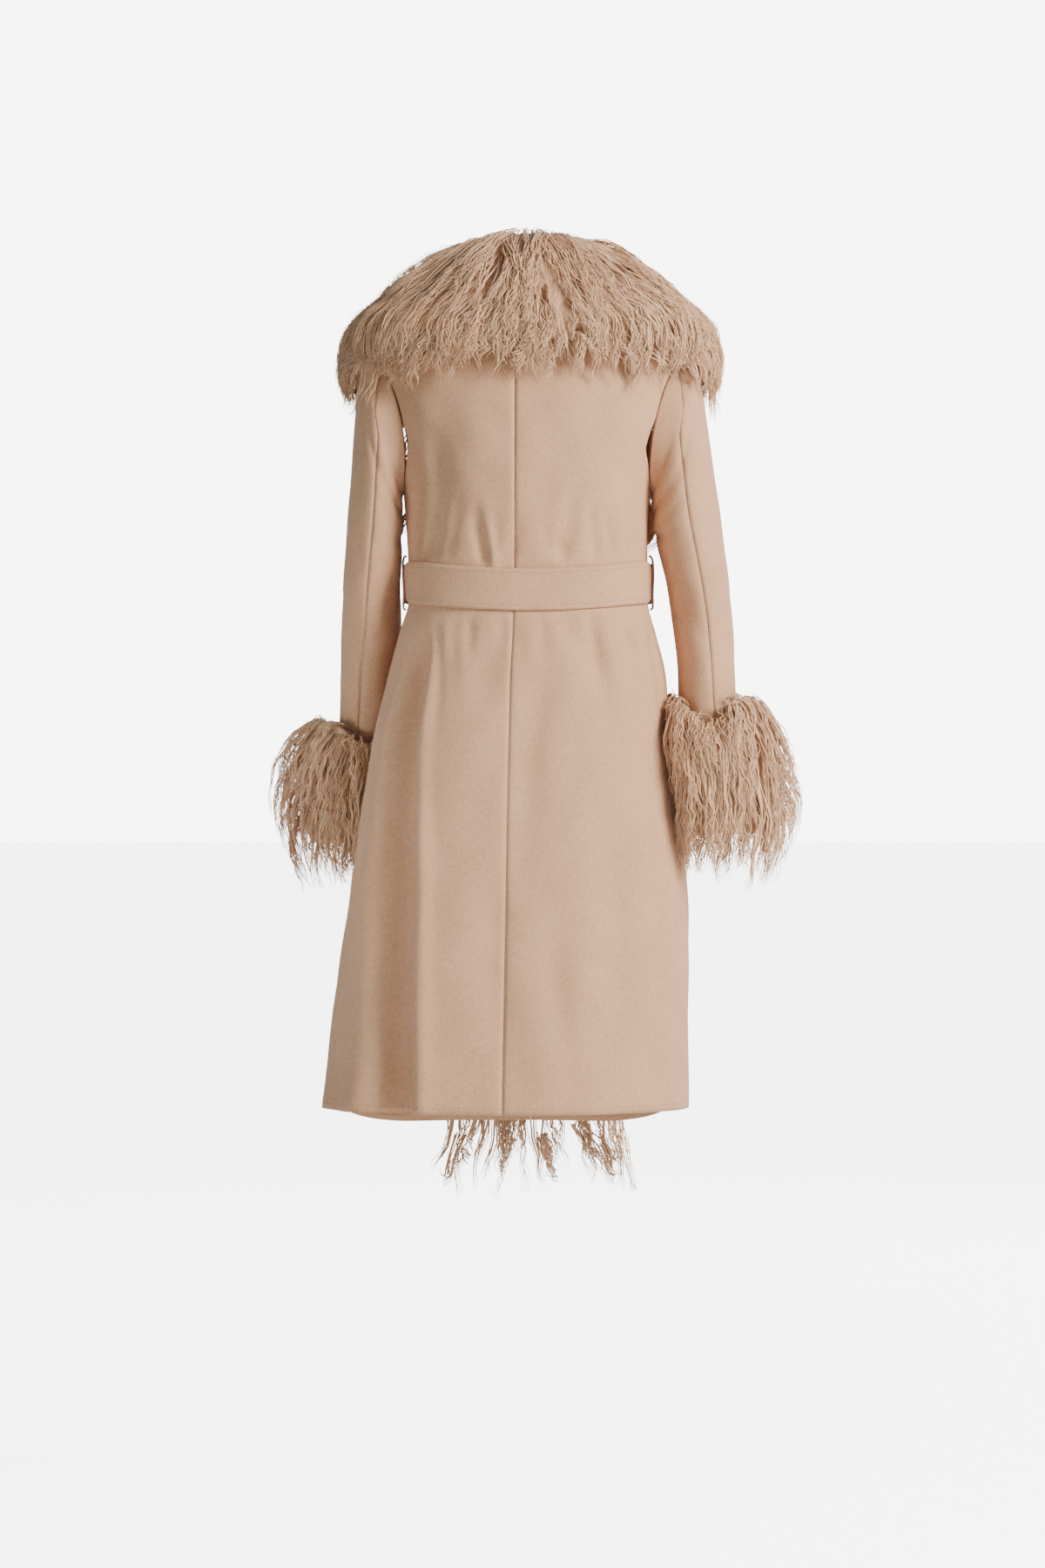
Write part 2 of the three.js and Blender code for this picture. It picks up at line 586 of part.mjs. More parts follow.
// A solid of fur on the cloth. Beyond the edge of the skin the hair follows the cloth, or goes
// straight sideways by the share that the place gives.
function furPiece(columns, rows, place, pile, count) {
  const widest = pile[pile.length - 1].w;
  const point = (u, v, onTop) => {
    const w = widest * u;
    const spot = place(v, w);
    const edge = place(v, 1);
    const press = beltPress(edge.angle, edge.z);
    const past = Math.max(w - 1, 0) / (widest - 1);
    const base = coverPoint(spot.angle, spot.z);
    const normal = coverNormal(spot.angle, spot.z);
    if (past > 0) {
      const sideways = coverPoint(edge.angle, spot.z);
      sideways.x += Math.sign(edge.angle) * spot.hair * past * mix(0.15, 1, press);
      base.lerp(sideways, spot.sideways);
      normal.lerp(coverNormal(edge.angle, edge.z), spot.sideways).normalize();
    }
    if (!onTop) {
      const overTip = SHOULDER_CLEARANCE * Math.exp(-(((spot.z - SHOULDER_TIP_Z) / TIP_CURVE) ** 2));
      return base.addScaledVector(normal, FUR_CLEARANCE + overTip + 4 * press * past + spot.hang);
    }
    const lift = (along(pile, 'w', 'lift', w) || 0) * spot.stand;
    const direction = normal.multiplyScalar(1 - lift).add(new THREE.Vector3(0, 0, lift)).normalize();
    const lean = COLLAR_LEAN * smooth((lift - 0.7) / 0.3);
    direction.add(new THREE.Vector3(-lean * Math.sin(spot.angle), -lean * Math.cos(spot.angle), 0));
    const relief = lockRelief(v, w, count) * smooth(w * 6) * clamp(1.25 - w / widest, 0, 1);
    const full = along(pile, 'w', 'thick', w) + relief;
    return base.addScaledVector(direction, mix(FUR_UNDER_BELT, full, press) + spot.hang);
  };
  return wall(columns, rows, (u, v) => point(u, v, true), (u, v) => point(u, v, false));
}

function skinEdgeAngle(side, reach, z) {
  return angleAtX(CENTRE_FRONT_X + side * reach, z, side * 1.6, side * 3.1);
}

function skinInnerAngle(side, z) {
  return necklineAngle(side, z) - side * 0.003;
}

// The collar runs from the top of one lapel round the back of the neck to the other.
function collarPlace(v, w) {
  const side = v < 0.5 ? -1 : 1;
  const share = Math.abs(2 * v - 1);
  const lapel = FRONT_FUR[0];
  const end = {
    s: 1,
    inAngle: THREE.MathUtils.radToDeg(Math.abs(skinInnerAngle(side, lapel.inZ))),
    inZ: lapel.inZ,
    outAngle: THREE.MathUtils.radToDeg(Math.abs(skinEdgeAngle(side, lapel.reach, lapel.outZ))),
    outZ: lapel.outZ,
    stand: 0,
  };
  const table = [...COLLAR, end];
  const at = (column) => along(table, 's', column, share);
  const angle = side * radians(mix(at('inAngle'), at('outAngle'), w));
  const z = mix(at('inZ'), at('outZ'), w);
  const sideways = smooth((share - LAPEL_SEAM_FROM) / (1 - LAPEL_SEAM_FROM));
  return { angle, z, stand: at('stand'), hang: 0, hair: lapel.hair, sideways };
}

// The fur of one front runs from the end of the collar down past the hem. Its rows are set so that
// the edges of the belt's groove lie on rows.
function frontFurPlace(side, v, w) {
  const total = FRONT_FUR_ROWS.reduce((sum, rows) => sum + rows, 0);
  const grooveTop = FRONT_FUR[3].s;
  const grooveBottom = FRONT_FUR[4].s;
  const row = v * total;
  const [above, within] = FRONT_FUR_ROWS;
  const below = row - above - within;
  let s = mix(FUR_SEAM_SHARE, grooveTop, row / above);
  if (row > above) s = mix(grooveTop, grooveBottom, (row - above) / within);
  if (below > 0) s = mix(grooveBottom, 1, below / (total - above - within));
  const inZ = along(FRONT_FUR, 's', 'inZ', s);
  const outZ = along(FRONT_FUR, 's', 'outZ', s);
  const inAngle = skinInnerAngle(side, inZ);
  const outAngle = skinEdgeAngle(side, along(FRONT_FUR, 's', 'reach', s), outZ);
  const jag = HAIR_BELOW_HEM * 0.28 * smooth((s - 0.88) / 0.12) * Math.sin(11 * w + side) ** 2;
  const z = mix(inZ, outZ, w) + jag;
  const past = smooth((FRONT_HEM_Z - 4 - z) / 60);
  const hair = along(FRONT_FUR, 's', 'hair', s);
  const hang = HAIR_PAST_HEM * past;
  return { angle: mix(inAngle, outAngle, w), z, stand: 0, hang, hair, sideways: 1 };
}

// A fur cuff: a ring between its skin, which stands off the sleeve, and the tips of its hair.
function cuffGeometry(side) {
  const column = side > 0 ? 'left' : 'right';
  const { top, bottom } = CUFF_HEIGHTS[column];
  const sleeve = SLEEVES[column].map((entry, i) => ({ z: entry.outZ, row: i + 1 }));
  const sleeveEnd = sleeve[sleeve.length - 1].z;
  const rowAtZ = (z) => along(sleeve, 'z', 'row', clamp(z, sleeveEnd, LEVEL_SLEEVE_Z));
  const ray = (turn, z) => {
    const row = rowAtZ(z);
    const centre = sleevePoint(side, 0, row).add(sleevePoint(side, Math.PI, row)).multiplyScalar(0.5);
    const outward = sleevePoint(side, turn, row).sub(centre);
    outward.z = 0;
    const near = outward.length();
    outward.normalize();
    const at = (distance) => new THREE.Vector3(centre.x, centre.y, z).addScaledVector(outward, distance);
    return { near, at };
  };
  // The point at a distance along a ray, drawn in until it clears the skirt.
  const pressedClear = ({ at }, distance, least, clearance) => {
    let result = distance;
    while (result > least && insideBody(at(result), clearance)) result -= 0.5;
    return at(result);
  };
  const outer = (u, v) => {
    const turn = 2 * Math.PI * u;
    const index = v * (CUFF_PROFILE.length - 1);
    const down = along(CUFF_PROFILE, 'i', 'down', index);
    const line = ray(turn, mix(top, bottom, down));
    const reach = along(CUFF_REACH, 'angle', column, THREE.MathUtils.radToDeg(turn));
    const locks = LOCK_RELIEF * Math.sin(CUFF_LOCKS * turn + 3 * v) * smooth(index);
    const skin = line.near + along(CUFF_ROOM, 'down', 'room', down) + 2;
    const distance = mix(skin, reach + locks, along(CUFF_PROFILE, 'i', 'outer', index));
    return pressedClear(line, distance, line.near + 3, CUFF_HAIR_CLEARANCE);
  };
  const inner = (u, v) => {
    const down = mix(CUFF_PROFILE[0].down, 1, v);
    const line = ray(2 * Math.PI * u, mix(top, bottom, down));
    const distance = line.near + along(CUFF_ROOM, 'down', 'room', down);
    return pressedClear(line, distance, line.near + 1, CUFF_SKIN_CLEARANCE);
  };
  return wall(CUFF_COLUMNS, CUFF_ROWS, outer, inner, true);
}

// Whether a point lies in the body or nearer to it than a clearance.
function insideBody(point, clearance) {
  const left = along(BODY, 'z', 'left', point.z);
  const right = along(BODY, 'z', 'right', point.z);
  const mid = along(BODY, 'z', 'mid', point.z);
  const front = along(BODY, 'z', 'front', point.z) + mid;
  const back = along(BODY, 'z', 'back', point.z) - mid;
  const x = Math.abs(point.x - (left - right) / 2) / ((left + right) / 2 + clearance);
  const y = Math.abs(point.y - mid) / ((point.y > mid ? back : front) + clearance);
  return x ** SQUARENESS + y ** SQUARENESS < 1;
}

// The belt.

function beltHeight(angle) {
  return BELT_Z + BELT_RISE_AT_SIDES * (Math.cos(angle) > 0 ? Math.sin(angle) ** 2 : 1);
}

// The belt is pinched where it goes through its loops.
function beltHalfHeight(angle) {
  const pinch = Math.exp(-(((Math.abs(angle) - Math.PI / 2) / 0.2) ** 2));
  return BELT_HALF_HEIGHT - BELT_PINCH * pinch;
}

function beltOffset(angle) {
  const onFur = smooth((Math.abs(angle) - radians(93)) / radians(14));
  return mix(BELT_CLEARANCE, BELT_OVER_FUR, onFur);
}

function beltPoint(angle, share, out) {
  const z = beltHeight(angle) + share * beltHalfHeight(angle);
  const point = bodyPoint(angle, z);
  return point.addScaledVector(normalOf(bodyPoint, angle, z, 0.02, 6), beltOffset(angle) + out);
}

function beltGeometry() {
  const reach = KNOT_HALF_WIDTH + SEAM - BELT_OVER_FUR * 0.07;
  const height = beltHeight(Math.PI);
  const start = angleAtX(CENTRE_FRONT_X - reach, height, -1.7, -3.1);
  const end = angleAtX(CENTRE_FRONT_X + reach, height, 1.7, 3.1);
  const at = (u, v, out) => beltPoint(mix(start, end, v), 1 - 2 * u, out);
  return wall(2, BELT_STEPS, (u, v) => at(u, v, BELT_THICKNESS), (u, v) => at(u, v, 0));
}

// A loop is a narrow strip that leaves the cloth above the belt, passes outside it and comes back.
function loopGeometry(side) {
  const angle = (side * Math.PI) / 2;
  const middle = beltHeight(angle);
  const high = beltHalfHeight(angle) + LOOP_REACH;
  const stand = beltOffset(angle) + BELT_THICKNESS + LOOP_STANDOFF;
  const path = [
    { t: 0, z: middle + high, out: 0.5 },
    { t: 0.12, z: middle + high - 3, out: stand * 0.7 },
    { t: 0.25, z: middle + high - 12, out: stand },
    { t: 0.75, z: middle - high + 12, out: stand },
    { t: 0.88, z: middle - high + 3, out: stand * 0.7 },
    { t: 1, z: middle - high, out: 0.5 },
  ];
  const at = (u, v, extra) => {
    const z = along(path, 't', 'z', v);
    const out = along(path, 't', 'out', v);
    const shift = ((u - 0.5) * LOOP_WIDTH) / 105;
    const point = bodyPoint(angle + shift, z);
    const ends = extra * Math.sign(v - 0.5) * smooth((Math.abs(v - 0.5) - 0.3) / 0.2);
    point.x += side * (out + extra * (1 - Math.abs(ends) * 0.3));
    point.z -= ends;
    return point;
  };
  return wall(1, 16, (u, v) => at(u, v, LOOP_THICKNESS), (u, v) => at(u, v, 0));
}

// How far in front of the middle plane something lies that is held off the front by a distance.
function frontY(x, z, out) {
  const angle = angleAtX(x, z, 1.9, 4.4);
  return bodyPoint(angle, z).y - out;
}

// The knot is a soft block with the wrap of the belt across it.
function knotGeometry() {
  const middle = beltHeight(Math.PI);
  const at = (u, v, front) => {
    const across = 2 * u - 1;
    const down = 2 * v - 1;
    const narrow = 1 - 0.16 * down * down;
    const x = CENTRE_FRONT_X + KNOT_HALF_WIDTH * across * narrow;
    const z = middle - KNOT_HALF_HEIGHT * down * (1 - 0.12 * across * across);
    const dome = (1 - across ** 4) * (1 - down ** 4);
    const wrap = KNOT_WRAP * Math.exp(-(((across + 0.55 * down) / 0.32) ** 2));
    const rim = 4;
    const depth = front ? rim + (KNOT_DEPTH - rim) * Math.sqrt(dome) + wrap * dome : 0;
    return new THREE.Vector3(x, frontY(x, z, BELT_OVER_FUR + SEAM) - depth, z);
  };
  return wall(8, 8, (u, v) => at(u, v, true), (u, v) => at(u, v, false));
}

// One hanging end of the belt, from below the knot over the fur.
function beltEndGeometry(side) {
  const table = side > 0 ? BELT_ENDS.left : BELT_ENDS.right;
  const steps = table.map((entry, i) => ({ ...entry, i }));
  const at = (u, v, extra) => {
    const index = v * (steps.length - 1);
    const read = (column) => along(steps, 'i', column, index);
    const x = CENTRE_FRONT_X + side * (read('shift') + (2 * u - 1) * read('half'));
    const curl = 2.5 * Math.cos(Math.PI * u) * smooth(index);
    const y = frontY(CENTRE_FRONT_X, read('z'), read('out')) - extra + curl;
    return new THREE.Vector3(x, y, read('z'));
  };
  return wall(3, 16, (u, v) => at(u, v, BELT_THICKNESS), (u, v) => at(u, v, 0));
}

const coat = new THREE.Group();

function addPiece(name, geometry, look) {
  const mesh = new THREE.Mesh(geometry, new THREE.MeshStandardMaterial({ ...look, metalness: 0 }));
  mesh.name = name;
  coat.add(mesh);
}

for (const [name, side] of [['left', 1], ['right', -1]]) {
  const sideAngle = (face) => (z) => armholeAngle(side, face, z);
  addPiece(`back_${name}`, bodyPanel(side, 13, centreBackAngle, sideAngle(1)), WOOL);
  addPiece(`front_${name}`, bodyPanel(side, 8, (z) => necklineAngle(side, z), sideAngle(-1)), WOOL);
  const backSeam = (row) => backSeamTurn(side, row);
  const frontSeam = () => radians(-FRONT_SLEEVE_SEAM);
  const frontSeamRound = () => radians(360 - FRONT_SLEEVE_SEAM);
  addPiece(`upper_sleeve_${name}`, sleevePiece(side, 11, frontSeam, backSeam), WOOL);
  addPiece(`under_sleeve_${name}`, sleevePiece(side, 8, backSeam, frontSeamRound), WOOL);
  const lapel = (v, w) => frontFurPlace(side, v, w);
  addPiece(`fur_front_${name}`, furPiece(6, 42, lapel, FRONT_PILE, 20), LAMB);
  addPiece(`fur_cuff_${name}`, cuffGeometry(side), LAMB);
  addPiece(`belt_loop_${name}`, loopGeometry(side), WOOL);
  addPiece(`belt_end_${name}`, beltEndGeometry(side), WOOL);
}
addPiece('fur_collar', furPiece(7, 62, collarPlace, COLLAR_PILE, 22), LAMB);
addPiece('belt', beltGeometry(), WOOL);
addPiece('belt_knot', knotGeometry(), WOOL);

export default coat;
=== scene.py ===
"""Looks of a belted wool coat with a long-haired curly lamb collar, fronts and cuffs."""

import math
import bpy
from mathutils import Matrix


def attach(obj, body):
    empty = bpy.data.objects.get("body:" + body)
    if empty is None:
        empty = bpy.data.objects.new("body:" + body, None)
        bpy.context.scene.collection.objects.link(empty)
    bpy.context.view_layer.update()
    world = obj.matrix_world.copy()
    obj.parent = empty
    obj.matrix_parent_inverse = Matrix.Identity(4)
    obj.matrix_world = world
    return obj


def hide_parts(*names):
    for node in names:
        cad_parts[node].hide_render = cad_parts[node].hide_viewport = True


bl_info = {
    "name": "Belted wool coat with lamb trim",
    "version": (1, 0, 0),
    "blender": (4, 5, 0),
    "location": "View3D > Sidebar > Coat",
    "description": "Builds the cloth, the belt, the lamb fur and the studio of a worn coat",
    "category": "Add Mesh",
}

import bmesh
import bpy
import numpy as np
from bpy.props import FloatProperty, FloatVectorProperty, IntProperty
from mathutils import Vector

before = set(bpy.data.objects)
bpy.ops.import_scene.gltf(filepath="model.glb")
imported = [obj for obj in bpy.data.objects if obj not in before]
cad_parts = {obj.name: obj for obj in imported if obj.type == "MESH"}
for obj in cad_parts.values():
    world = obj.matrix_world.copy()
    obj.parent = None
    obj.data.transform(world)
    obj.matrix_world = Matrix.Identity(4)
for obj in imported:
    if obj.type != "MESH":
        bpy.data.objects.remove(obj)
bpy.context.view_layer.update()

# All sizes of the coat are in millimetres, as its tables are, and become metres in the meshes.
MM = 0.001
SEAM = 0.3
NECK_Z = 35
SHOULDER_TIP_Z = -35
UNDERARM_Z = -215
ARMHOLE_MIDDLE_Z = (SHOULDER_TIP_Z + UNDERARM_Z) / 2
ARMHOLE_HALF_HEIGHT = (SHOULDER_TIP_Z - UNDERARM_Z) / 2
ARMHOLE_HALF_DEPTH = 58
WAIST_Z = -352
SKIRT_FROM_Z = -400
SLEEVE_HEAD_ROOM = 8
SLEEVE_HEAD_X = {1: 195.7, -1: 198.7}
SLEEVE_ROWS = 11
SLEEVE_ROW_LENGTH = 52
SLEEVE_RADIUS = 50
FOLD_RADIUS = 150
HEM_RADIUS = 170
BACK_HEM_Z = -961
FRONT_HEM_Z = -990
HAIR_BELOW_HEM = 93
SQUARENESS = 2.25
CENTRE_FRONT_X = -4
FRONT_SLEEVE_SEAM = 70
SHOULDER_CLEARANCE = 7.5

BELT_Z = -338
BELT_RISE_AT_SIDES = 13
BELT_HALF_HEIGHT = 26
BELT_CLEARANCE = 1.5
BELT_OVER_FUR = 9.8
BELT_THICKNESS = 3.2
FUR_UNDER_BELT = 4.5
GROOVE_HALF_HEIGHT = 31
KNOT_HALF_WIDTH = 27
KNOT_HALF_HEIGHT = 27
KNOT_DEPTH = 20
LOOP_WIDTH = 10

# The studio is in metres.
FLOOR_Z = -1.49
FLOOR_RADIUS = 60
EYE_HEIGHT = 0.92
CAMERA_DISTANCE = 5.0
CAMERA_LENS = 94.26
CAMERA_X = 0.0064
PAPER_WHITE = (1.0, 0.995, 0.975)
COOL_SKY = (0.78, 0.9, 1.0)
FLOOR_GLOW = 5.45
WALL_GLOW = 7.0
SKY_LIGHT = 0.36
THREAD = (0.36, 0.24, 0.17)


def columns(names, *rows):
    """A short table with named columns."""
    values = np.array(rows, float)
    return {name: values[:, i] for i, name in enumerate(names.split())}


# Horizontal sections of the body: how far the cloth reaches, and where it is widest.
BODY = columns(
    "z left right back front mid",
    (35, 65, 65, 54, 62, 0),
    (20, 93, 93, 71, 78, 0),
    (0, 130, 130, 85, 91, 0),
    (-20, 167, 168, 94, 99, 0),
    (-35, 195, 198, 99, 103, 0),
    (-60, 189, 191, 106, 109, 0),
    (-110, 175, 176, 114, 117, 0),
    (-160, 161, 161, 118, 122, 0),
    (-215, 150, 148, 116, 122, 0),
    (-270, 147, 146, 109, 114, 0),
    (-315, 145, 146, 102, 106, 0),
    (-350, 145, 146, 102, 104, 0),
    (-385, 156, 155, 113, 106, 3),
    (-444, 171, 168, 128, 109, 9),
    (-514, 190, 173, 140, 113, 14),
    (-600, 202, 184, 148, 118, 18),
    (-687, 214, 194, 154, 122, 20),
    (-780, 229, 195, 159, 126, 20),
    (-961, 252, 195, 166, 132, 20),
)
# Long creases, by their angle from the centre back at the top, middle and bottom.
FOLDS = columns(
    "top bottom start via end width depth fade hold",
    (-125, -301, 43, 43, 50, 16, 7, 60, 8),
    (-185, -301, -24, -21, -17, 13, 5, 60, 8),
    (-230, -301, 14, 15, 18, 12, 3, 50, 8),
    (-200, -301, -62, -60, -56, 14, 4, 60, 8),
    (-367, -1100, 57, 44, 33, 25, 25, 110, 10),
    (-450, -1100, 47, 33, 26, 15, -9, 200, 10),
    (-367, -455, -15, -25, -35, 13, 6, 14, 60),
    (-367, -700, -58, -56, -50, 26, 6, 60, 200),
    (-367, -560, 18, 17, 12, 22, 3, 40, 120),
    (-367, -1100, 108, 112, 118, 26, 15, 150, 10),
    (-367, -1100, -104, -108, -116, 26, 13, 150, 10),
)
# Finer creases that only the cloth's surface shows.
SMALL_FOLDS = columns(
    "top bottom start via end width depth fade hold",
    (-210, -301, 33, 35, 40, 9, 2.2, 50, 6),
    (-372, -1100, 52, 40, 31, 13, 9, 60, 10),
    (-372, -1100, 45, 32, 24, 9, -3.4, 90, 10),
    (-130, -300, 62, 60, 66, 13, 5, 40, 30),
    (-225, -304, 24, 23, 21, 8, 4, 60, 5),
    (-225, -318, 20, 18, 15, 6, -2.5, 60, 5),
    (-250, -304, -14, -15, -17, 7, 2.6, 46, 5),
    (-215, -304, -30, -31, -34, 9, 3, 60, 5),
    (-240, -304, 5, 6, 9, 9, 2.4, 50, 5),
    (-250, -304, 52, 54, 57, 8, 3, 46, 5),
    (-369, -450, 26, 25, 22, 8, 3.2, 10, 70),
    (-369, -430, 11, 11, 9, 8, 2.6, 10, 55),
    (-369, -520, -29, -31, -36, 10, 5, 10, 130),
    (-369, -440, -6, -7, -9, 8, 2.4, 10, 60),
    (-369, -500, -48, -51, -56, 11, 3.4, 12, 110),
    (-120, -215, -66, -64, -66, 9, 5, 26, 26),
    (-420, -760, -8, -2, 4, 16, 4, 80, 200),
    (-640, -1000, 10, 4, -6, 14, 2.5, 120, 160),
    (-690, -1010, -10, -16, -24, 12, 2.6, 120, 160),
    (-560, -940, -30, -34, -36, 20, 3.5, 160, 200),
    (-372, -560, 44, 36, 30, 9, 3, 20, 120),
    (-240, -301, -8, -9, -12, 8, 1.8, 40, 6),
    (-232, -301, -38, -40, -42, 10, 2.4, 40, 6),
    (-205, -301, 66, 64, 62, 9, 2.2, 50, 6),
    (-150, -290, 55, 60, 70, 10, 2.6, 60, 60),
    (-367, -470, 5, 3, -4, 9, 1.8, 16, 80),
    (-367, -520, 33, 31, 26, 12, 2.6, 20, 110),
    (-367, -430, -42, -46, -52, 9, 2.2, 14, 50),
    (-367, -640, -72, -70, -66, 15, 3.2, 40, 200),
    (-367, -1000, 74, 78, 84, 22, 5, 60, 120),
    (-600, -1100, 6, 4, 2, 40, 2.5, 200, 10),
    (-520, -1100, -44, -46, -52, 44, 4, 220, 10),
    (-700, -1100, 62, 66, 70, 26, 6, 160, 10),
    (-210, -301, 140, 139, 136, 12, 2.4, 50, 6),
    (-210, -301, -138, -139, -140, 12, 2.4, 50, 6),
    (-367, -900, 130, 131, 133, 22, 4, 60, 200),
    (-367, -900, -128, -130, -133, 22, 4, 60, 200),
)
CENTRE_BACK = columns("z x", (35, 9), (-35, 15), (-345, 17), (-464, 22), (-961, 31))
NECKLINE = columns(
    "z x", (35, 62), (20, 60), (0, 56), (-35, 50), (-80, 41), (-150, 27), (-230, 8), (-260, 0), (-1000, 0)
)
# Slanted sections of the sleeves between their outer and inner points.
SLEEVES = {
    1: columns(
        "row out_x out_z in_x in_z y half seam",
        (1, 205, -58, 152.6, -221, 0, 61, 88),
        (2, 209, -105, 152.2, -228, -1, 62, 88),
        (3, 213, -155, 152, -240, -3, 61, 88),
        (4, 217, -210, 151.5, -260, -6, 60, 87),
        (5, 221, -262, 153, -286, -11, 59, 86),
        (6, 226, -322, 156, -328, -24, 58, 84),
        (7, 229, -375, 155, -375, -42, 57, 80),
        (8, 231, -432, 159, -432, -64, 56, 76),
        (9, 233, -490, 162, -490, -86, 55, 74),
        (10, 237, -545, 168, -545, -101, 53, 74),
        (11, 240, -600, 173, -600, -112, 51, 74),
    ),
    -1: columns(
        "row out_x out_z in_x in_z y half seam",
        (1, 209, -58, 150.6, -221, 0, 61, 88),
        (2, 215, -105, 150.4, -228, 0, 62, 88),
        (3, 222, -155, 150.4, -240, 0, 61, 88),
        (4, 230, -210, 151, -260, 0, 60, 88),
        (5, 237, -262, 157, -280, 0, 59, 88),
        (6, 245, -322, 168, -322, 1, 58, 87),
        (7, 250, -375, 176, -375, 3, 57, 85),
        (8, 252, -432, 182, -432, 8, 56, 83),
        (9, 254, -490, 184, -490, 14, 55, 81),
        (10, 259, -545, 192, -545, 18, 53, 81),
        (11, 265, -600, 200, -600, 21, 51, 81),
    ),
}
SLEEVE_CREASES = columns(
    "row angle across along slope depth",
    (3.1, 150, 0.55, 0.35, 0.5, 5),
    (4.6, 165, 0.6, 0.3, -0.4, 4),
    (5.6, 60, 0.5, 0.3, 0.6, 3),
    (6.6, 130, 0.6, 0.3, 0.5, 4),
    (7.6, 40, 0.6, 0.3, -0.5, 3),
)
SMALL_SLEEVE_CREASES = columns(
    "row angle across along slope depth",
    (3.9, 120, 0.5, 0.16, 0.7, 2),
    (5.1, 100, 0.45, 0.14, 0.8, 1.8),
    (6.1, 150, 0.4, 0.14, 0.9, 2.2),
    (7.1, 110, 0.5, 0.16, -0.6, 1.8),
    (6.2, -30, 0.6, 0.2, 0.5, 2.5),
    (7.0, -60, 0.6, 0.2, -0.5, 2.5),
    (8.6, 90, 0.5, 0.22, 0.4, 1.6),
    (2.4, 80, 0.4, 0.3, 1.2, 2.2),
)
COLLAR = columns(
    "s in_angle in_z out_angle out_z stand",
    (0, 0, 34, 0, -60, 1),
    (0.2, 40, 34, 34, -60, 1),
    (0.4, 75, 34, 68, -62, 1),
    (0.55, 95, 34, 90, -66, 1),
    (0.72, 120, 28, 112, -78, 0.8),
)
LAPEL_SEAM_FROM = 0.8
HAIR_DEPTH = 36
PELT_SHARE = 0.66
PELT_WALL = 6
COLLAR_PELT_ROWS = 28
NECK_RIM_ROWS = 4
SHARE_AT_NECK_SKIN = -0.95
COLLAR_PILE = columns(
    "w thick lift",
    (0, 73, 1),
    (0.12, 71, 0.75),
    (0.3, 62, 0.25),
    (0.52, 56, 0),
    (0.75, 44, 0),
    (1, 30, 0),
    (1.28, 12, 0),
)
# How far the collar's hair stands over the shoulder, as a share of its pile.
COLLAR_SWELL = columns(
    "w left right",
    (0, 0.95, 0.98),
    (0.15, 1, 1.05),
    (0.4, 0.82, 0.92),
    (0.65, 0.56, 0.7),
    (0.9, 0.56, 0.66),
    (1.28, 1.05, 0.95),
    (1.5, 1.2, 1.1),
)
FRONT_PILE = columns(
    "w thick lift", (0, 38, 0), (0.2, 48, 0), (0.55, 48, 0), (0.85, 42, 0), (1, 30, 0), (1.34, 10, 0)
)
FRONT_FUR = columns(
    "s in_z out_z reach hair",
    (0, -30, -118, 132, 36),
    (0.1, -110, -165, 131, 38),
    (0.2, -205, -225, 129, 38),
    (0.3, -294, -294, 126, 38),
    (0.37, -356, -356, 114, 38),
    (0.42, -405, -405, 106, 36),
    (0.55, -545, -545, 97, 32),
    (0.75, -740, -740, 96, 32),
    (1, -1083, -1083, 92, 34),
)
FRONT_SHARE_AT_BELT = 0.3
CUFF_REACH = columns(
    "angle left right",
    (0, 112, 98),
    (60, 104, 98),
    (120, 92, 92),
    (180, 58, 66),
    (240, 74, 84),
    (300, 100, 94),
    (360, 112, 98),
)
# Profiles of a cuff's undercoat and of its hair, from the foot of the upper hollow over the
# upper edge and down.
CUFF_PROFILE = columns(
    "i down outer dip",
    (0, 0.14, 0.06, 2),
    (1, 0, 0.42, 32),
    (2, 0.07, 0.72, 20),
    (3, 0.25, 0.95, 5),
    (4, 0.48, 1, 0),
    (5, 0.7, 0.94, 0),
    (6, 0.88, 0.76, 0),
    (7, 1, 0.42, 0),
)
CUFF_HAIR = columns(
    "i down outer dip",
    (0, 0.14, 0.06, 2),
    (1, 0, 0.42, 32),
    (2, 0.07, 0.72, 20),
    (3, 0.25, 0.95, 5),
    (4, 0.46, 1, 0),
    (5, 0.67, 0.93, 0),
    (6, 0.84, 0.79, 0),
    (7, 0.98, 0.62, 0),
    (8, 1.1, 0.46, 0),
)
CUFF_HEIGHTS = {1: (-492, -686), -1: (-466, -676)}
CUFF_SKIN_END_Z = -612
CUFF_DIP_ANGLE = 92
CUFF_DIP_WIDTH = 34
CUFF_ROOM = columns("down room", (0, 5), (0.14, 5), (0.4, 2.5), (0.6, 1.4), (1, 1))
LEVEL_SLEEVE_Z = -432
SEAM_TURN_AT_ARMHOLE = 0.7
BELT_ENDS = {
    1: columns(
        "i z out shift half",
        (0, -352.4, 11, 13, 11),
        (1, -366, 30, 15, 15),
        (2, -384, 58, 19, 18),
        (3, -420, 66, 26, 23),
        (4, -500, 66, 31, 25),
        (5, -655, 63, 37, 25),
    ),
    -1: columns(
        "i z out shift half",
        (0, -352.4, 11, 13, 11),
        (1, -366, 30, 15, 14),
        (2, -384, 58, 18, 17),
        (3, -420, 66, 27, 22),
        (4, -500, 66, 33, 25),
        (5, -620, 63, 42, 25),
    ),
}
SIDES = {1: "left", -1: "right"}


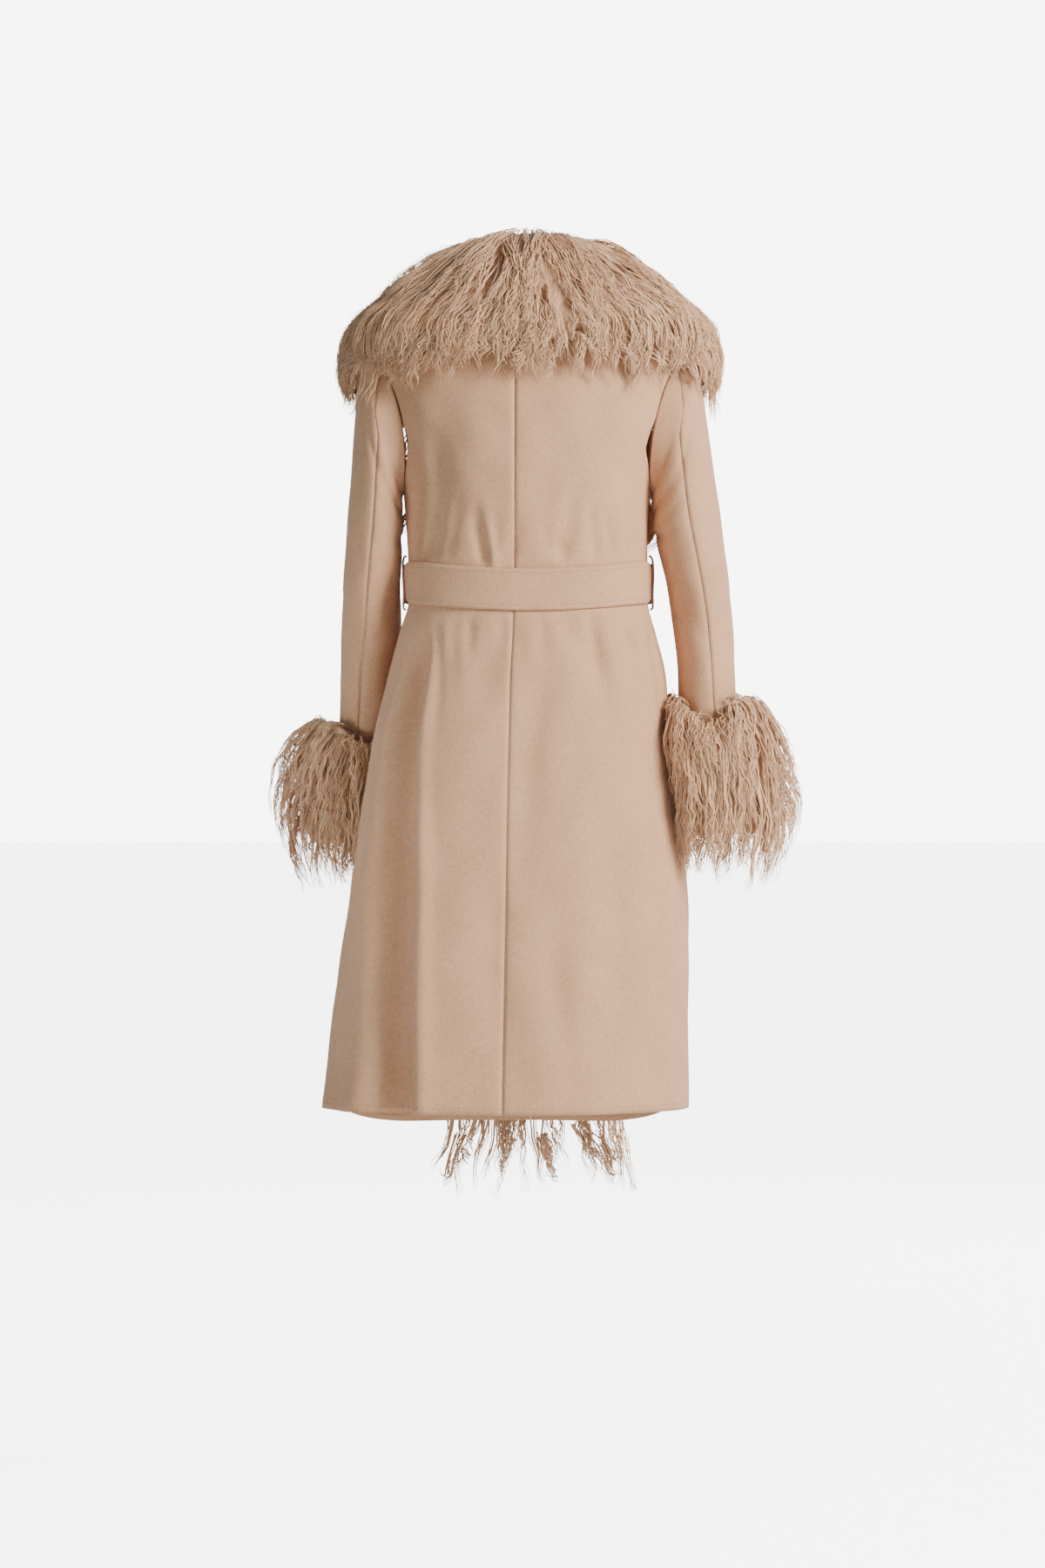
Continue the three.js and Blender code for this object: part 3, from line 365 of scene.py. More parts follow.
class CoatCloth(bpy.types.PropertyGroup):
    """Sizes and colours of the wool."""

    thickness: FloatProperty(
        name="Cloth thickness", description="Wall of the double-faced wool", default=2.4 * MM, unit="LENGTH"
    )
    creases: FloatProperty(name="Creases", description="Strength of the small creases", default=1.5)
    colour: FloatVectorProperty(
        name="Wool", description="Main colour of the wool", default=(0.635, 0.355, 0.2), subtype="COLOR"
    )
    shade: FloatVectorProperty(
        name="Wool shade",
        description="Darker colour between the fibres",
        default=(0.45, 0.245, 0.136),
        subtype="COLOR",
    )


class CoatFur(bpy.types.PropertyGroup):
    """Sizes and colours of the lamb."""

    collar_strands: IntProperty(
        name="Collar strands", description="Smooth strands on each half of the collar", default=1980
    )
    collar_curls: IntProperty(
        name="Collar curls", description="Curly strands on each half of the collar", default=1380
    )
    tuft_strands: IntProperty(
        name="Tuft", description="Curly strands that stand at the back of the neck, on each half", default=96
    )
    front_strands: IntProperty(
        name="Front strands", description="Smooth strands on each front", default=600
    )
    front_curls: IntProperty(name="Front curls", description="Curly strands on each front", default=540)
    cuff_strands: IntProperty(name="Cuff strands", description="Smooth strands on each cuff", default=780)
    cuff_curls: IntProperty(name="Cuff curls", description="Curly strands on each cuff", default=1020)
    lock_width: FloatProperty(
        name="Strand width", description="Width of a strand at its root", default=2.2 * MM, unit="LENGTH"
    )
    curl: FloatProperty(
        name="Curl", description="Reach of the crimps at the tips", default=3.4 * MM, unit="LENGTH"
    )
    tip: FloatVectorProperty(
        name="Tips", description="Colour of the hair tips", default=(0.92, 0.575, 0.335), subtype="COLOR"
    )
    # Roots: the hair darkens towards the skin as painted shade deep in the pile, where the strands would
    # shade one another.
    root: FloatVectorProperty(
        name="Roots",
        description="Colour of the hair near the skin",
        default=(0.48, 0.265, 0.145),
        subtype="COLOR",
    )


# Shape of the coat, as functions over arrays.


def along(table, key, column, at):
    """One column of a table at key values, on a smooth curve through the rows."""
    keys = table[key]
    values = table[column]
    at = np.asarray(at, float)
    sign = 1 if keys[-1] > keys[0] else -1
    last = len(keys) - 1
    i = np.clip(np.searchsorted(sign * keys, sign * at, side="left") - 1, 0, last - 1)
    before = np.maximum(np.arange(last + 1) - 1, 0)
    after = np.minimum(np.arange(last + 1) + 1, last)
    slope = (values[after] - values[before]) / (keys[after] - keys[before])
    span = keys[i + 1] - keys[i]
    t = np.clip((at - keys[i]) / span, 0, 1)
    start = values[i] * (2 * t**3 - 3 * t**2 + 1) + slope[i] * span * (t**3 - 2 * t**2 + t)
    return start + values[i + 1] * (3 * t**2 - 2 * t**3) + slope[i + 1] * span * (t**3 - t**2)


def smooth(value):
    t = np.clip(value, 0, 1)
    return t * t * (3 - 2 * t)


def mix(a, b, share):
    return a + (b - a) * share


def unit(vectors):
    return vectors / np.maximum(np.linalg.norm(vectors, axis=-1, keepdims=True), 1e-9)


def fold_depth(table, angle, z):
    """How far the creases of a table press the cloth of the body in."""
    depth = np.zeros(np.broadcast(angle, z).shape)
    for i in range(len(table["top"])):
        row = {name: values[i] for name, values in table.items()}
        run = (row["top"] - z) / (row["top"] - row["bottom"])
        bend = 4 * run * (1 - run) * (row["via"] - (row["start"] + row["end"]) / 2)
        centre = np.radians(mix(row["start"], row["end"], run) + bend)
        away = (angle - centre) * FOLD_RADIUS / row["width"]
        fade = smooth((row["top"] - z) / row["fade"]) * smooth((z - row["bottom"]) / row["hold"])
        depth = depth + np.where((run > 0) & (run < 1), row["depth"] * fade * np.exp(-away * away), 0)
    return depth


def body_point(angle, z):
    """A point of the body's cloth: angle is 0 at the centre back and grows towards the left sleeve."""
    left = along(BODY, "z", "left", z)
    right = along(BODY, "z", "right", z)
    mid = along(BODY, "z", "mid", z)
    s = np.sin(angle)
    c = np.cos(angle)
    depth = np.where(c > 0, along(BODY, "z", "back", z) - mid, along(BODY, "z", "front", z) + mid)
    half = (left + right) / 2
    swell = (np.abs(s) ** SQUARENESS + np.abs(c) ** SQUARENESS) ** (-1 / SQUARENESS)
    x = (left - right) / 2 + half * s * swell
    y = mid + depth * c * swell
    across = s / half
    deep = c / depth
    size = np.hypot(across, deep)
    inward = fold_depth(FOLDS, angle, z)
    x = x - inward * across / size
    y = y - inward * deep / size
    return np.stack([x, y, np.broadcast_to(z, x.shape)], axis=-1)


def normal_of(surface, angle, z, step_angle, step_z):
    across = surface(angle + step_angle, z) - surface(angle - step_angle, z)
    down = surface(angle, z - step_z) - surface(angle, z + step_z)
    return unit(np.cross(across, down))


def body_normal(angle, z):
    return normal_of(body_point, angle, np.minimum(z, NECK_Z - 2), 0.01, 2)


def angle_at_x(x, z, low, high):
    """The angle at which a section of the body reaches an x, searched between two angles."""
    low = np.broadcast_to(low, np.shape(z)).astype(float)
    high = np.broadcast_to(high, np.shape(z)).astype(float)
    rising = body_point(high, z)[..., 0] > body_point(low, z)[..., 0]
    for _ in range(30):
        middle = (low + high) / 2
        short = (body_point(middle, z)[..., 0] < x) == rising
        low = np.where(short, middle, low)
        high = np.where(short, high, middle)
    return (low + high) / 2


def armhole_angle(side, face, z):
    """The angle of the armhole's edge on the back, face 1, or the front, face -1."""
    share = (z - ARMHOLE_MIDDLE_Z) / ARMHOLE_HALF_HEIGHT
    y = ARMHOLE_HALF_DEPTH * np.sqrt(np.clip(1 - share * share, 0, 1))
    low = np.zeros(np.shape(z))
    high = np.full(np.shape(z), math.pi / 2)
    for _ in range(30):
        middle = (low + high) / 2
        angle = np.where(face > 0, middle, math.pi - middle) * side
        wide = np.abs(body_point(angle, z)[..., 1]) > y
        low = np.where(wide, middle, low)
        high = np.where(wide, high, middle)
    found = np.where(face > 0, low, math.pi - low) * side
    return np.where(np.abs(share) >= 1, side * math.pi / 2, found)


def hem_z(angle):
    return mix(BACK_HEM_Z, FRONT_HEM_Z, smooth((np.degrees(np.abs(angle)) - 95) / 55))


def centre_back_angle(z):
    return angle_at_x(along(CENTRE_BACK, "z", "x", z), z, -1, 1)


def neckline_angle(side, z):
    reach = np.maximum(along(NECKLINE, "z", "x", z), 0)
    x = CENTRE_FRONT_X * smooth((NECK_Z - z) / 200) + side * reach
    return angle_at_x(x, z, side * (math.pi / 2 + 0.12), side * math.pi * 1.1)


def armhole_point(side, turn):
    """A point of the seam between the body and a sleeve."""
    z = mix(UNDERARM_Z, SHOULDER_TIP_Z, (1 + np.cos(turn)) / 2)
    face = np.where(np.sin(turn) >= 0, 1, -1)
    point = body_point(armhole_angle(side, face, z), z)
    point[..., 0] += side * 0.7
    return point


def sleeve_crease(table, turn, row):
    """How far the creases of a table press the cloth of a sleeve in."""
    depth = 0
    for i in range(len(table["row"])):
        across = (turn - math.radians(table["angle"][i])) / table["across"][i]
        down = (row - table["row"][i] - table["slope"][i] * across * 0.4) / table["along"][i]
        depth = depth + table["depth"][i] * np.exp(-across * across - down * down)
    return depth


def sleeve_point(side, turn, row, inset=0.0, fine=False):
    """A point of a sleeve: turn is 0 at the outer side, row is 0 at the armhole."""
    table = SLEEVES[side]
    turn, row = np.broadcast_arrays(np.asarray(turn, float), np.asarray(row, float))
    index = np.maximum(row, 1)
    read = {name: along(table, "row", name, index) for name in table if name != "row"}
    out = np.stack([side * read["out_x"], read["y"], read["out_z"]], axis=-1)
    into = np.stack([side * read["in_x"], read["y"], read["in_z"]], axis=-1)
    centre = (out + into) / 2
    point = centre + (out - into) / 2 * np.cos(turn)[..., None]
    point[..., 1] += read["half"] * np.sin(turn)
    hole = armhole_point(side, turn)
    middle = np.stack([hole[..., 0], 0 * row, 0 * row + ARMHOLE_MIDDLE_Z], axis=-1)
    share = np.clip(row, 0, 1)[..., None]
    point = mix(hole, point, share)
    centre = mix(middle, centre, share)
    depth = inset + sleeve_crease(SLEEVE_CREASES, turn, row)
    if fine:
        depth = depth + sleeve_crease(SMALL_SLEEVE_CREASES, turn, row)
        depth = depth + 0.5 * np.sin(3 * row + 2 * turn) * np.sin(5 * turn + row)
    return point + unit(centre - point) * np.asarray(depth)[..., None]


def back_seam_turn(side, row):
    """The turn of a sleeve's back seam, which swings to the outer side at the armhole."""
    turn = np.radians(along(SLEEVES[side], "row", "seam", np.maximum(row, 1)))
    return turn - SEAM_TURN_AT_ARMHOLE * (1 - smooth(row / 1.6))


def cover_point(angle, z):
    """The outermost cloth: the body, or the head of the sleeve where it bulges past the body."""
    angle, z = np.broadcast_arrays(np.asarray(angle, float), np.asarray(z, float))
    body = body_point(angle, z)
    result = body.copy()
    for side in (1, -1):
        here = (np.sign(np.sin(angle)) == side) & (z <= SHOULDER_TIP_Z) & (z >= UNDERARM_Z)
        if not here.any():
            continue
        level = z[here]
        table = SLEEVES[side]
        head = {
            "out_z": np.concatenate([[SHOULDER_TIP_Z], table["out_z"]]),
            "out_x": np.concatenate([[SLEEVE_HEAD_X[side]], table["out_x"]]),
        }
        reach = along(head, "out_z", "out_x", level) + 2
        share = np.clip((level - ARMHOLE_MIDDLE_Z) / ARMHOLE_HALF_HEIGHT, -1, 1)
        depth = ARMHOLE_HALF_DEPTH + SLEEVE_HEAD_ROOM
        half = np.where(level < ARMHOLE_MIDDLE_Z, depth, depth * np.sqrt(1 - share * share) + 2)
        edge = np.abs(body_point(armhole_angle(side, 1, level), level)[..., 0]) - 4
        dx = np.abs(body[here][..., 0])
        dy = body[here][..., 1]
        a = dx * dx / (reach - edge) ** 2 + dy * dy / half**2
        b = -2 * dx * edge / (reach - edge) ** 2
        c = edge**2 / (reach - edge) ** 2 - 1
        inside = b * b - 4 * a * c
        scale = (-b + np.sqrt(np.maximum(inside, 0))) / (2 * a)
        scale = np.where((inside > 0) & (scale > 1), scale, 1)
        moved = body[here]
        moved[..., 0] *= scale
        moved[..., 1] *= scale
        result[here] = moved
    return result


def cover_normal(angle, z):
    return normal_of(cover_point, angle, np.minimum(z, NECK_Z - 9), 0.1, 8)


def belt_height(angle):
    return BELT_Z + BELT_RISE_AT_SIDES * np.where(np.cos(angle) > 0, np.sin(angle) ** 2, 1)


def belt_half_height(angle):
    return BELT_HALF_HEIGHT - 8 * np.exp(-(((np.abs(angle) - math.pi / 2) / 0.2) ** 2))


def belt_offset(angle):
    return mix(BELT_CLEARANCE, BELT_OVER_FUR, smooth((np.abs(angle) - math.radians(93)) / math.radians(14)))


def belt_press(angle, z):
    """How much of the pile is left under the belt."""
    return smooth((np.abs(z - belt_height(angle)) - GROOVE_HALF_HEIGHT) / 34)


def skin_edge_angle(side, reach, z):
    return angle_at_x(CENTRE_FRONT_X + side * reach, z, side * 1.6, side * 3.1)


def skin_inner_angle(side, z):
    return neckline_angle(side, z) - side * 0.003


def collar_place(side, share, w):
    """Where the collar's hair is rooted: share runs from the centre back to the lapel, w outwards."""
    lapel_in = np.degrees(np.abs(skin_inner_angle(side, np.array(FRONT_FUR["in_z"][0]))))
    lapel_out = np.degrees(
        np.abs(skin_edge_angle(side, FRONT_FUR["reach"][0], np.array(FRONT_FUR["out_z"][0])))
    )
    end = (1, lapel_in, FRONT_FUR["in_z"][0], lapel_out, FRONT_FUR["out_z"][0], 0)
    table = {name: np.append(COLLAR[name], value) for name, value in zip(COLLAR, end)}
    read = {name: along(table, "s", name, share) for name in table if name != "s"}
    return {
        "angle": side * np.radians(mix(read["in_angle"], read["out_angle"], w)),
        "z": mix(read["in_z"], read["out_z"], w),
        "stand": read["stand"],
        "hang": 0 * w,
        "hair": FRONT_FUR["hair"][0] + 0 * w,
        "sideways": smooth((share - LAPEL_SEAM_FROM) / (1 - LAPEL_SEAM_FROM)),
    }


def front_place(side, s, w):
    """Where the hair of a front is rooted: s runs down the edge, w away from it."""
    in_z = along(FRONT_FUR, "s", "in_z", s)
    out_z = along(FRONT_FUR, "s", "out_z", s)
    in_angle = skin_inner_angle(side, in_z)
    out_angle = skin_edge_angle(side, along(FRONT_FUR, "s", "reach", s), out_z)
    jag = HAIR_BELOW_HEM * 0.28 * smooth((s - 0.88) / 0.12) * np.sin(11 * w + side) ** 2
    z = mix(in_z, out_z, w) + jag
    return {
        "angle": mix(in_angle, out_angle, w),
        "z": z,
        "stand": 0 * w,
        "hang": 10 * smooth((FRONT_HEM_Z - 4 - z) / 60),
        "hair": along(FRONT_FUR, "s", "hair", s),
        "sideways": 1 + 0 * w,
    }


def fur_point(place, side, s, w, pile, share):
    """A point in the pile: share is 0 on the skin and 1 at the tips."""
    s, w, share = np.broadcast_arrays(np.asarray(s, float), np.asarray(w, float), np.asarray(share, float))
    widest = pile["w"][-1]
    spot = place(side, s, w)
    edge = place(side, s, np.ones_like(w))
    press = belt_press(edge["angle"], edge["z"])
    past = np.maximum(w - 1, 0) / (widest - 1)
    base = cover_point(spot["angle"], spot["z"])
    normal = cover_normal(spot["angle"], spot["z"])
    sideways = cover_point(edge["angle"], spot["z"])
    sideways[..., 0] += side * spot["hair"] * past * mix(0.15, 1, press)
    blend = np.where(past > 0, spot["sideways"], 0)[..., None]
    base = mix(base, sideways, blend)
    normal = unit(mix(normal, cover_normal(edge["angle"], edge["z"]), blend))
    lift = (along(pile, "w", "lift", w) * spot["stand"])[..., None]
    direction = unit(mix(normal, np.array([0.0, 0.0, 1.0]), lift))
    lean = 0.12 * smooth((lift[..., 0] - 0.7) / 0.3)
    direction = direction + np.stack(
        [-lean * np.sin(spot["angle"]), -lean * np.cos(spot["angle"]), 0 * lean], axis=-1
    )
    over_tip = SHOULDER_CLEARANCE * np.exp(-(((spot["z"] - SHOULDER_TIP_Z) / 24) ** 2))
    low = 1.3 + over_tip + spot["hang"]
    full = mix(FUR_UNDER_BELT, along(pile, "w", "thick", w), press) + spot["hang"]
    return base + direction * mix(low, full, share)[..., None]


def inside_body(x, y, z, clearance):
    """Whether points lie inside the body's cloth or nearer to it than a clearance."""
    left = along(BODY, "z", "left", z)
    right = along(BODY, "z", "right", z)
    mid = along(BODY, "z", "mid", z)
    depth = np.where(y > mid, along(BODY, "z", "back", z) - mid, along(BODY, "z", "front", z) + mid)
    across = np.abs(x - (left - right) / 2) / ((left + right) / 2 + clearance)
    return across**SQUARENESS + (np.abs(y - mid) / (depth + clearance)) ** SQUARENESS < 1


def cuff_row(side, z):
    """The row of a sleeve at a height in its cuff."""
    table = SLEEVES[side]
    return along({"z": table["out_z"], "row": table["row"]}, "z", "row", np.clip(z, -600, LEVEL_SLEEVE_Z))


def cuff_dip(degrees):
    """1 at the back of the sleeve, where a cuff's upper edge dips, and 0 away from it."""
    return np.exp(-(((degrees - CUFF_DIP_ANGLE) / CUFF_DIP_WIDTH) ** 2))


def cuff_point(side, turn, index, share, profile=CUFF_PROFILE):
    """A point of a cuff: index runs down its profile, share from the skin to the tips.

    The upper edge dips at the back of the sleeve, where its opening shows.
    """
    turn, index, share = np.broadcast_arrays(
        np.asarray(turn, float), np.asarray(index, float), np.asarray(share, float)
    )
    top, bottom = CUFF_HEIGHTS[side]
    down = along(profile, "i", "down", index)
    z = mix(top, bottom, down)
    row = cuff_row(side, z)
    centre = (sleeve_point(side, 0, row) + sleeve_point(side, math.pi, row)) / 2
    outward = sleeve_point(side, turn, row) - centre
    outward[..., 2] = 0
    near = np.linalg.norm(outward, axis=-1)
    outward = unit(outward)
    least = near + along(CUFF_ROOM, "down", "room", down)
    reach = along(CUFF_REACH, "angle", SIDES[side], np.degrees(turn) % 360)
    far = mix(least + 2, reach, along(profile, "i", "outer", index))
    distance = mix(least, far, share)
    for _ in range(60):
        x = centre[..., 0] + outward[..., 0] * distance
        y = centre[..., 1] + outward[..., 1] * distance
        held = inside_body(x, y, z, 3) & (distance > near + 1)
        if not held.any():
            break
        distance = np.where(held, distance - 1, distance)
    point = centre + outward * distance[..., None]
    point[..., 2] = z - cuff_dip(np.degrees(turn) % 360) * along(profile, "i", "dip", index)
    return point


def tabled(surface, s_range, w_range, steps):
    """Reads a fur surface on a grid once, and gives a function that looks points up in it."""
    rows, cells = np.meshgrid(
        np.linspace(*s_range, steps[0]), np.linspace(*w_range, steps[1]), indexing="ij"
    )
    skin = surface(rows, cells, 0 * rows)
    tips = surface(rows, cells, 0 * rows + 1)

    def lookup(s, w, share):
        s, w, share = (np.asarray(value, float) for value in (s, w, share))
        s, w, share = np.broadcast_arrays(s, w, share)
        at_s = np.clip((s - s_range[0]) / (s_range[1] - s_range[0]), 0, 1) * (steps[0] - 1)
        at_w = np.clip((w - w_range[0]) / (w_range[1] - w_range[0]), 0, 1) * (steps[1] - 1)
        i = np.minimum(at_s.astype(int), steps[0] - 2)
        j = np.minimum(at_w.astype(int), steps[1] - 2)
        p = (at_s - i)[..., None]
        q = (at_w - j)[..., None]

        def read(points):
            first = mix(points[i, j], points[i, j + 1], q)
            return mix(first, mix(points[i + 1, j], points[i + 1, j + 1], q), p)

        return mix(read(skin), read(tips), share[..., None])

    return lookup


# Meshes.


def new_grid(across, down):
    """A grid as a bmesh, with the shares u and v of its vertices."""
    bm = bmesh.new()
    bm.loops.layers.uv.new("UVMap")
    bmesh.ops.create_grid(bm, x_segments=across, y_segments=down, size=0.5, calc_uvs=True)
    flat = np.array([vert.co[:2] for vert in bm.verts])
    return bm, flat[:, 0] + 0.5, 0.5 - flat[:, 1]


def place_vertices(bm, points, outward, edge_map=None, weld=False):
    """Moves the vertices to points in millimetres and turns the faces to the outward side."""
    for vert, point in zip(bm.verts, points * MM):
        vert.co = point
    if edge_map is not None:
        layer = bm.loops.layers.uv["UVMap"]
        for face in bm.faces:
            for loop in face.loops:
                loop[layer].uv = edge_map[loop.vert.index] * MM
    bm.normal_update()
    facing = sum(vert.normal.dot(Vector(out)) for vert, out in zip(bm.verts, outward))
    if facing < 0:
        bmesh.ops.reverse_faces(bm, faces=bm.faces)
    if weld:
        bmesh.ops.remove_doubles(bm, verts=bm.verts, dist=0.00005)


def new_piece(bm, name, material, replaced=(), thickness=None):
    mesh = bpy.data.meshes.new(name)
    for face in bm.faces:
        face.smooth = True
    bm.to_mesh(mesh)
    bm.free()
    piece = bpy.data.objects.new(name, mesh)
    bpy.context.scene.collection.objects.link(piece)
    mesh.materials.append(material)
    if thickness:
        wall = piece.modifiers.new("Cloth", "SOLIDIFY")
        wall.thickness = thickness
        wall.offset = -1
        wall.use_even_offset = False
    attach(piece, "root")
    if replaced:
        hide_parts(*replaced)
    return piece


def group_tree(name, inputs, outputs):
    """A shader node group with named inputs and outputs."""
    tree = bpy.data.node_groups.new(name, "ShaderNodeTree")
    for label, kind, value in inputs:
        socket = tree.interface.new_socket(name=label, in_out="INPUT", socket_type=kind)
        if value is not None:
            socket.default_value = value
    for label, kind in outputs:
        tree.interface.new_socket(name=label, in_out="OUTPUT", socket_type=kind)
    return tree, tree.nodes.new("NodeGroupInput"), tree.nodes.new("NodeGroupOutput")


def math_node(tree, operation, first, second=None, third=None, clamp=False):
    node = tree.nodes.new("ShaderNodeMath")
    node.operation = operation
    node.use_clamp = clamp
    for i, value in enumerate((first, second, third)):
        if value is None:
            continue
        if isinstance(value, (int, float)):
            node.inputs[i].default_value = value
        else:
            tree.links.new(value, node.inputs[i])
    return node.outputs[0]


def noise_node(tree, vector, scale, detail, roughness=0.5):
    node = tree.nodes.new("ShaderNodeTexNoise")
    node.inputs["Scale"].default_value = scale
    node.inputs["Detail"].default_value = detail
    node.inputs["Roughness"].default_value = roughness
    tree.links.new(vector, node.inputs["Vector"])
    return node.outputs["Fac"]


def mapped(tree, vector, scale):
    node = tree.nodes.new("ShaderNodeMapping")
    node.inputs["Scale"].default_value = scale
    tree.links.new(vector, node.inputs["Vector"])
    return node.outputs["Vector"]


def mix_colour(tree, factor, first, second):
    node = tree.nodes.new("ShaderNodeMix")
    node.data_type = "RGBA"
    for socket, value in ((node.inputs[0], factor), (node.inputs[6], first), (node.inputs[7], second)):
        if isinstance(value, (int, float)):
            socket.default_value = value
        elif isinstance(value, (tuple, list)):
            socket.default_value = (*value, 1.0)
        else:
            tree.links.new(value, socket)
    return node.outputs[2]


def nap_group():
    """Short brushed fibres: a tone between the fibres and a height for the bump."""
    tree, start, end = group_tree(
        "Brushed nap",
        [("Vector", "NodeSocketVector", None)],
        [("Tone", "NodeSocketFloat"), ("Height", "NodeSocketFloat")],
    )
    vector = start.outputs["Vector"]
    fibres = noise_node(tree, mapped(tree, vector, (1, 1, 0.35)), 900, 3, 0.65)
    tufts = noise_node(tree, vector, 260, 4, 0.6)
    clouds = noise_node(tree, vector, 14, 3, 0.55)
    fine = math_node(tree, "MULTIPLY_ADD", tufts, 0.5, math_node(tree, "MULTIPLY", fibres, 0.5))
    grain = math_node(tree, "MULTIPLY_ADD", fine, 2.6, -1.05)
    tone = math_node(tree, "MULTIPLY_ADD", clouds, 0.7, grain, clamp=True)
    tree.links.new(tone, end.inputs["Tone"])
    tree.links.new(fine, end.inputs["Height"])
    return tree


def stitch_group():
    """A row of pick stitches at a distance from an edge: 1 on the stitches, 0 elsewhere."""
    tree, start, end = group_tree(
        "Pick stitches",
        [
            ("Edge map", "NodeSocketVector", None),
            ("Distance", "NodeSocketFloat", 0.006),
            ("Pitch", "NodeSocketFloat", 0.0045),
        ],
        [("Mask", "NodeSocketFloat")],
    )
    split = tree.nodes.new("ShaderNodeSeparateXYZ")
    tree.links.new(start.outputs["Edge map"], split.inputs[0])
    away = math_node(tree, "SUBTRACT", split.outputs["X"], start.outputs["Distance"])
    away = math_node(tree, "MULTIPLY", math_node(tree, "ABSOLUTE", away), 1100.0)
    line = math_node(tree, "SUBTRACT", 1.0, away, clamp=True)
    step = math_node(tree, "DIVIDE", split.outputs["Y"], start.outputs["Pitch"])
    wave = math_node(tree, "SINE", math_node(tree, "MULTIPLY", step, 2 * math.pi))
    dash = math_node(tree, "MULTIPLY_ADD", wave, 2.0, 0.6, clamp=True)
    tree.links.new(math_node(tree, "MULTIPLY", line, dash), end.inputs["Mask"])
    return tree


def group_node(tree, group):
    node = tree.nodes.new("ShaderNodeGroup")
    node.node_tree = group
    return node


def new_material(name):
    material = bpy.data.materials.new(name)
    material.use_nodes = True
    tree = material.node_tree
    return material, tree, tree.nodes["Principled BSDF"]


def finish(tree, shader, colour, height, strength, depth, values):
    """Gives a shader its colour, a bump from a height, and its other values by name."""
    bump = tree.nodes.new("ShaderNodeBump")
    bump.inputs["Strength"].default_value = strength
    bump.inputs["Distance"].default_value = depth
    tree.links.new(height, bump.inputs["Height"])
    tree.links.new(bump.outputs[0], shader.inputs["Normal"])
    tree.links.new(colour, shader.inputs["Base Color"])
    for label, value in values.items():
        shader.inputs[label].default_value = value


def wool_material(name, nap, stitches, stitch_distance):
    """The wool; a stitch distance above 0 adds a row of pick stitches that far from the edges."""
    cloth = bpy.context.scene.coat_cloth
    material, tree, shader = new_material(name)
    coordinates = tree.nodes.new("ShaderNodeTexCoord")
    brushed = group_node(tree, nap)
    tree.links.new(coordinates.outputs["Object"], brushed.inputs["Vector"])
    colour = mix_colour(tree, brushed.outputs["Tone"], tuple(cloth.shade), tuple(cloth.colour))
    height = brushed.outputs["Height"]
    if stitch_distance:
        row = group_node(tree, stitches)
        row.inputs["Distance"].default_value = stitch_distance
        uv = tree.nodes.new("ShaderNodeUVMap")
        uv.uv_map = "UVMap"
        tree.links.new(uv.outputs[0], row.inputs["Edge map"])
        mask = math_node(tree, "MULTIPLY", row.outputs["Mask"], 0.35)
        colour = mix_colour(tree, mask, colour, THREAD)
        sunk = math_node(tree, "MULTIPLY", row.outputs["Mask"], 1.6)
        height = math_node(tree, "SUBTRACT", height, sunk)
    values = {
        "Roughness": 0.92,
        "Specular IOR Level": 0.2,
        "Sheen Weight": 0.22,
        "Sheen Roughness": 0.45,
        "Sheen Tint": (1.0, 0.92, 0.85, 1.0),
    }
    finish(tree, shader, colour, height, 0.55, 0.0012, values)
    return material


def lock_material():
    """Hair: the map's first share is the strand's own tone, the second runs from root to tip."""
    fur = bpy.context.scene.coat_fur
    material, tree, shader = new_material("Lamb locks")
    uv = tree.nodes.new("ShaderNodeUVMap")
    uv.uv_map = "UVMap"
    split = tree.nodes.new("ShaderNodeSeparateXYZ")
    tree.links.new(uv.outputs[0], split.inputs[0])
    tone = math_node(tree, "FRACT", split.outputs["X"])
    hairs = noise_node(tree, mapped(tree, uv.outputs[0], (160, 5, 1)), 1.0, 3, 0.6)
    # The colour darkens from tip to root: painted shade deep in the pile.
    rise = math_node(tree, "POWER", split.outputs["Y"], 0.7)
    own = math_node(tree, "MULTIPLY", tone, 0.34)
    light = math_node(tree, "MULTIPLY_ADD", rise, 0.62, own, clamp=True)
    light = math_node(tree, "SUBTRACT", light, 0.06)
    light = math_node(tree, "MULTIPLY_ADD", hairs, 0.25, light, clamp=True)
    colour = mix_colour(tree, light, tuple(fur.root), tuple(fur.tip))
    values = {
        "Roughness": 0.6,
        "Specular IOR Level": 0.32,
        "Sheen Weight": 0.25,
        "Sheen Roughness": 0.35,
        "Sheen Tint": (1.0, 0.93, 0.86, 1.0),
    }
    finish(tree, shader, colour, hairs, 0.35, 0.0005, values)
    return material


def pelt_material():
    """The dense hair under the locks, streaked along its fall."""
    fur = bpy.context.scene.coat_fur
    material, tree, shader = new_material("Lamb undercoat")
    coordinates = tree.nodes.new("ShaderNodeTexCoord")
    streaks = noise_node(tree, mapped(tree, coordinates.outputs["Object"], (1, 1, 0.22)), 320, 4, 0.7)
    clumps = noise_node(tree, mapped(tree, coordinates.outputs["Object"], (1, 1, 0.4)), 70, 3, 0.6)
    light = math_node(tree, "MULTIPLY", streaks, clumps)
    light = math_node(tree, "MULTIPLY", light, 1.7, clamp=True)
    # The root colour in this mix is painted shade of the deep pile under the locks.
    colour = mix_colour(tree, light, tuple(fur.root), tuple(fur.tip))
    values = {"Roughness": 0.8, "Specular IOR Level": 0.2}
    finish(tree, shader, colour, light, 0.8, 0.004, values)
    return material


def skin_material():
    """The pale tanned skin of the lamb, seen at its cut edge."""
    material, tree, shader = new_material("Lamb skin")
    coordinates = tree.nodes.new("ShaderNodeTexCoord")
    suede = noise_node(tree, coordinates.outputs["Object"], 500, 4, 0.6)
    colour = mix_colour(tree, suede, (0.62, 0.47, 0.4), (0.74, 0.6, 0.53))
    finish(tree, shader, colour, suede, 0.2, 0.0005, {"Roughness": 0.85})
    return material


MATERIALS = {}


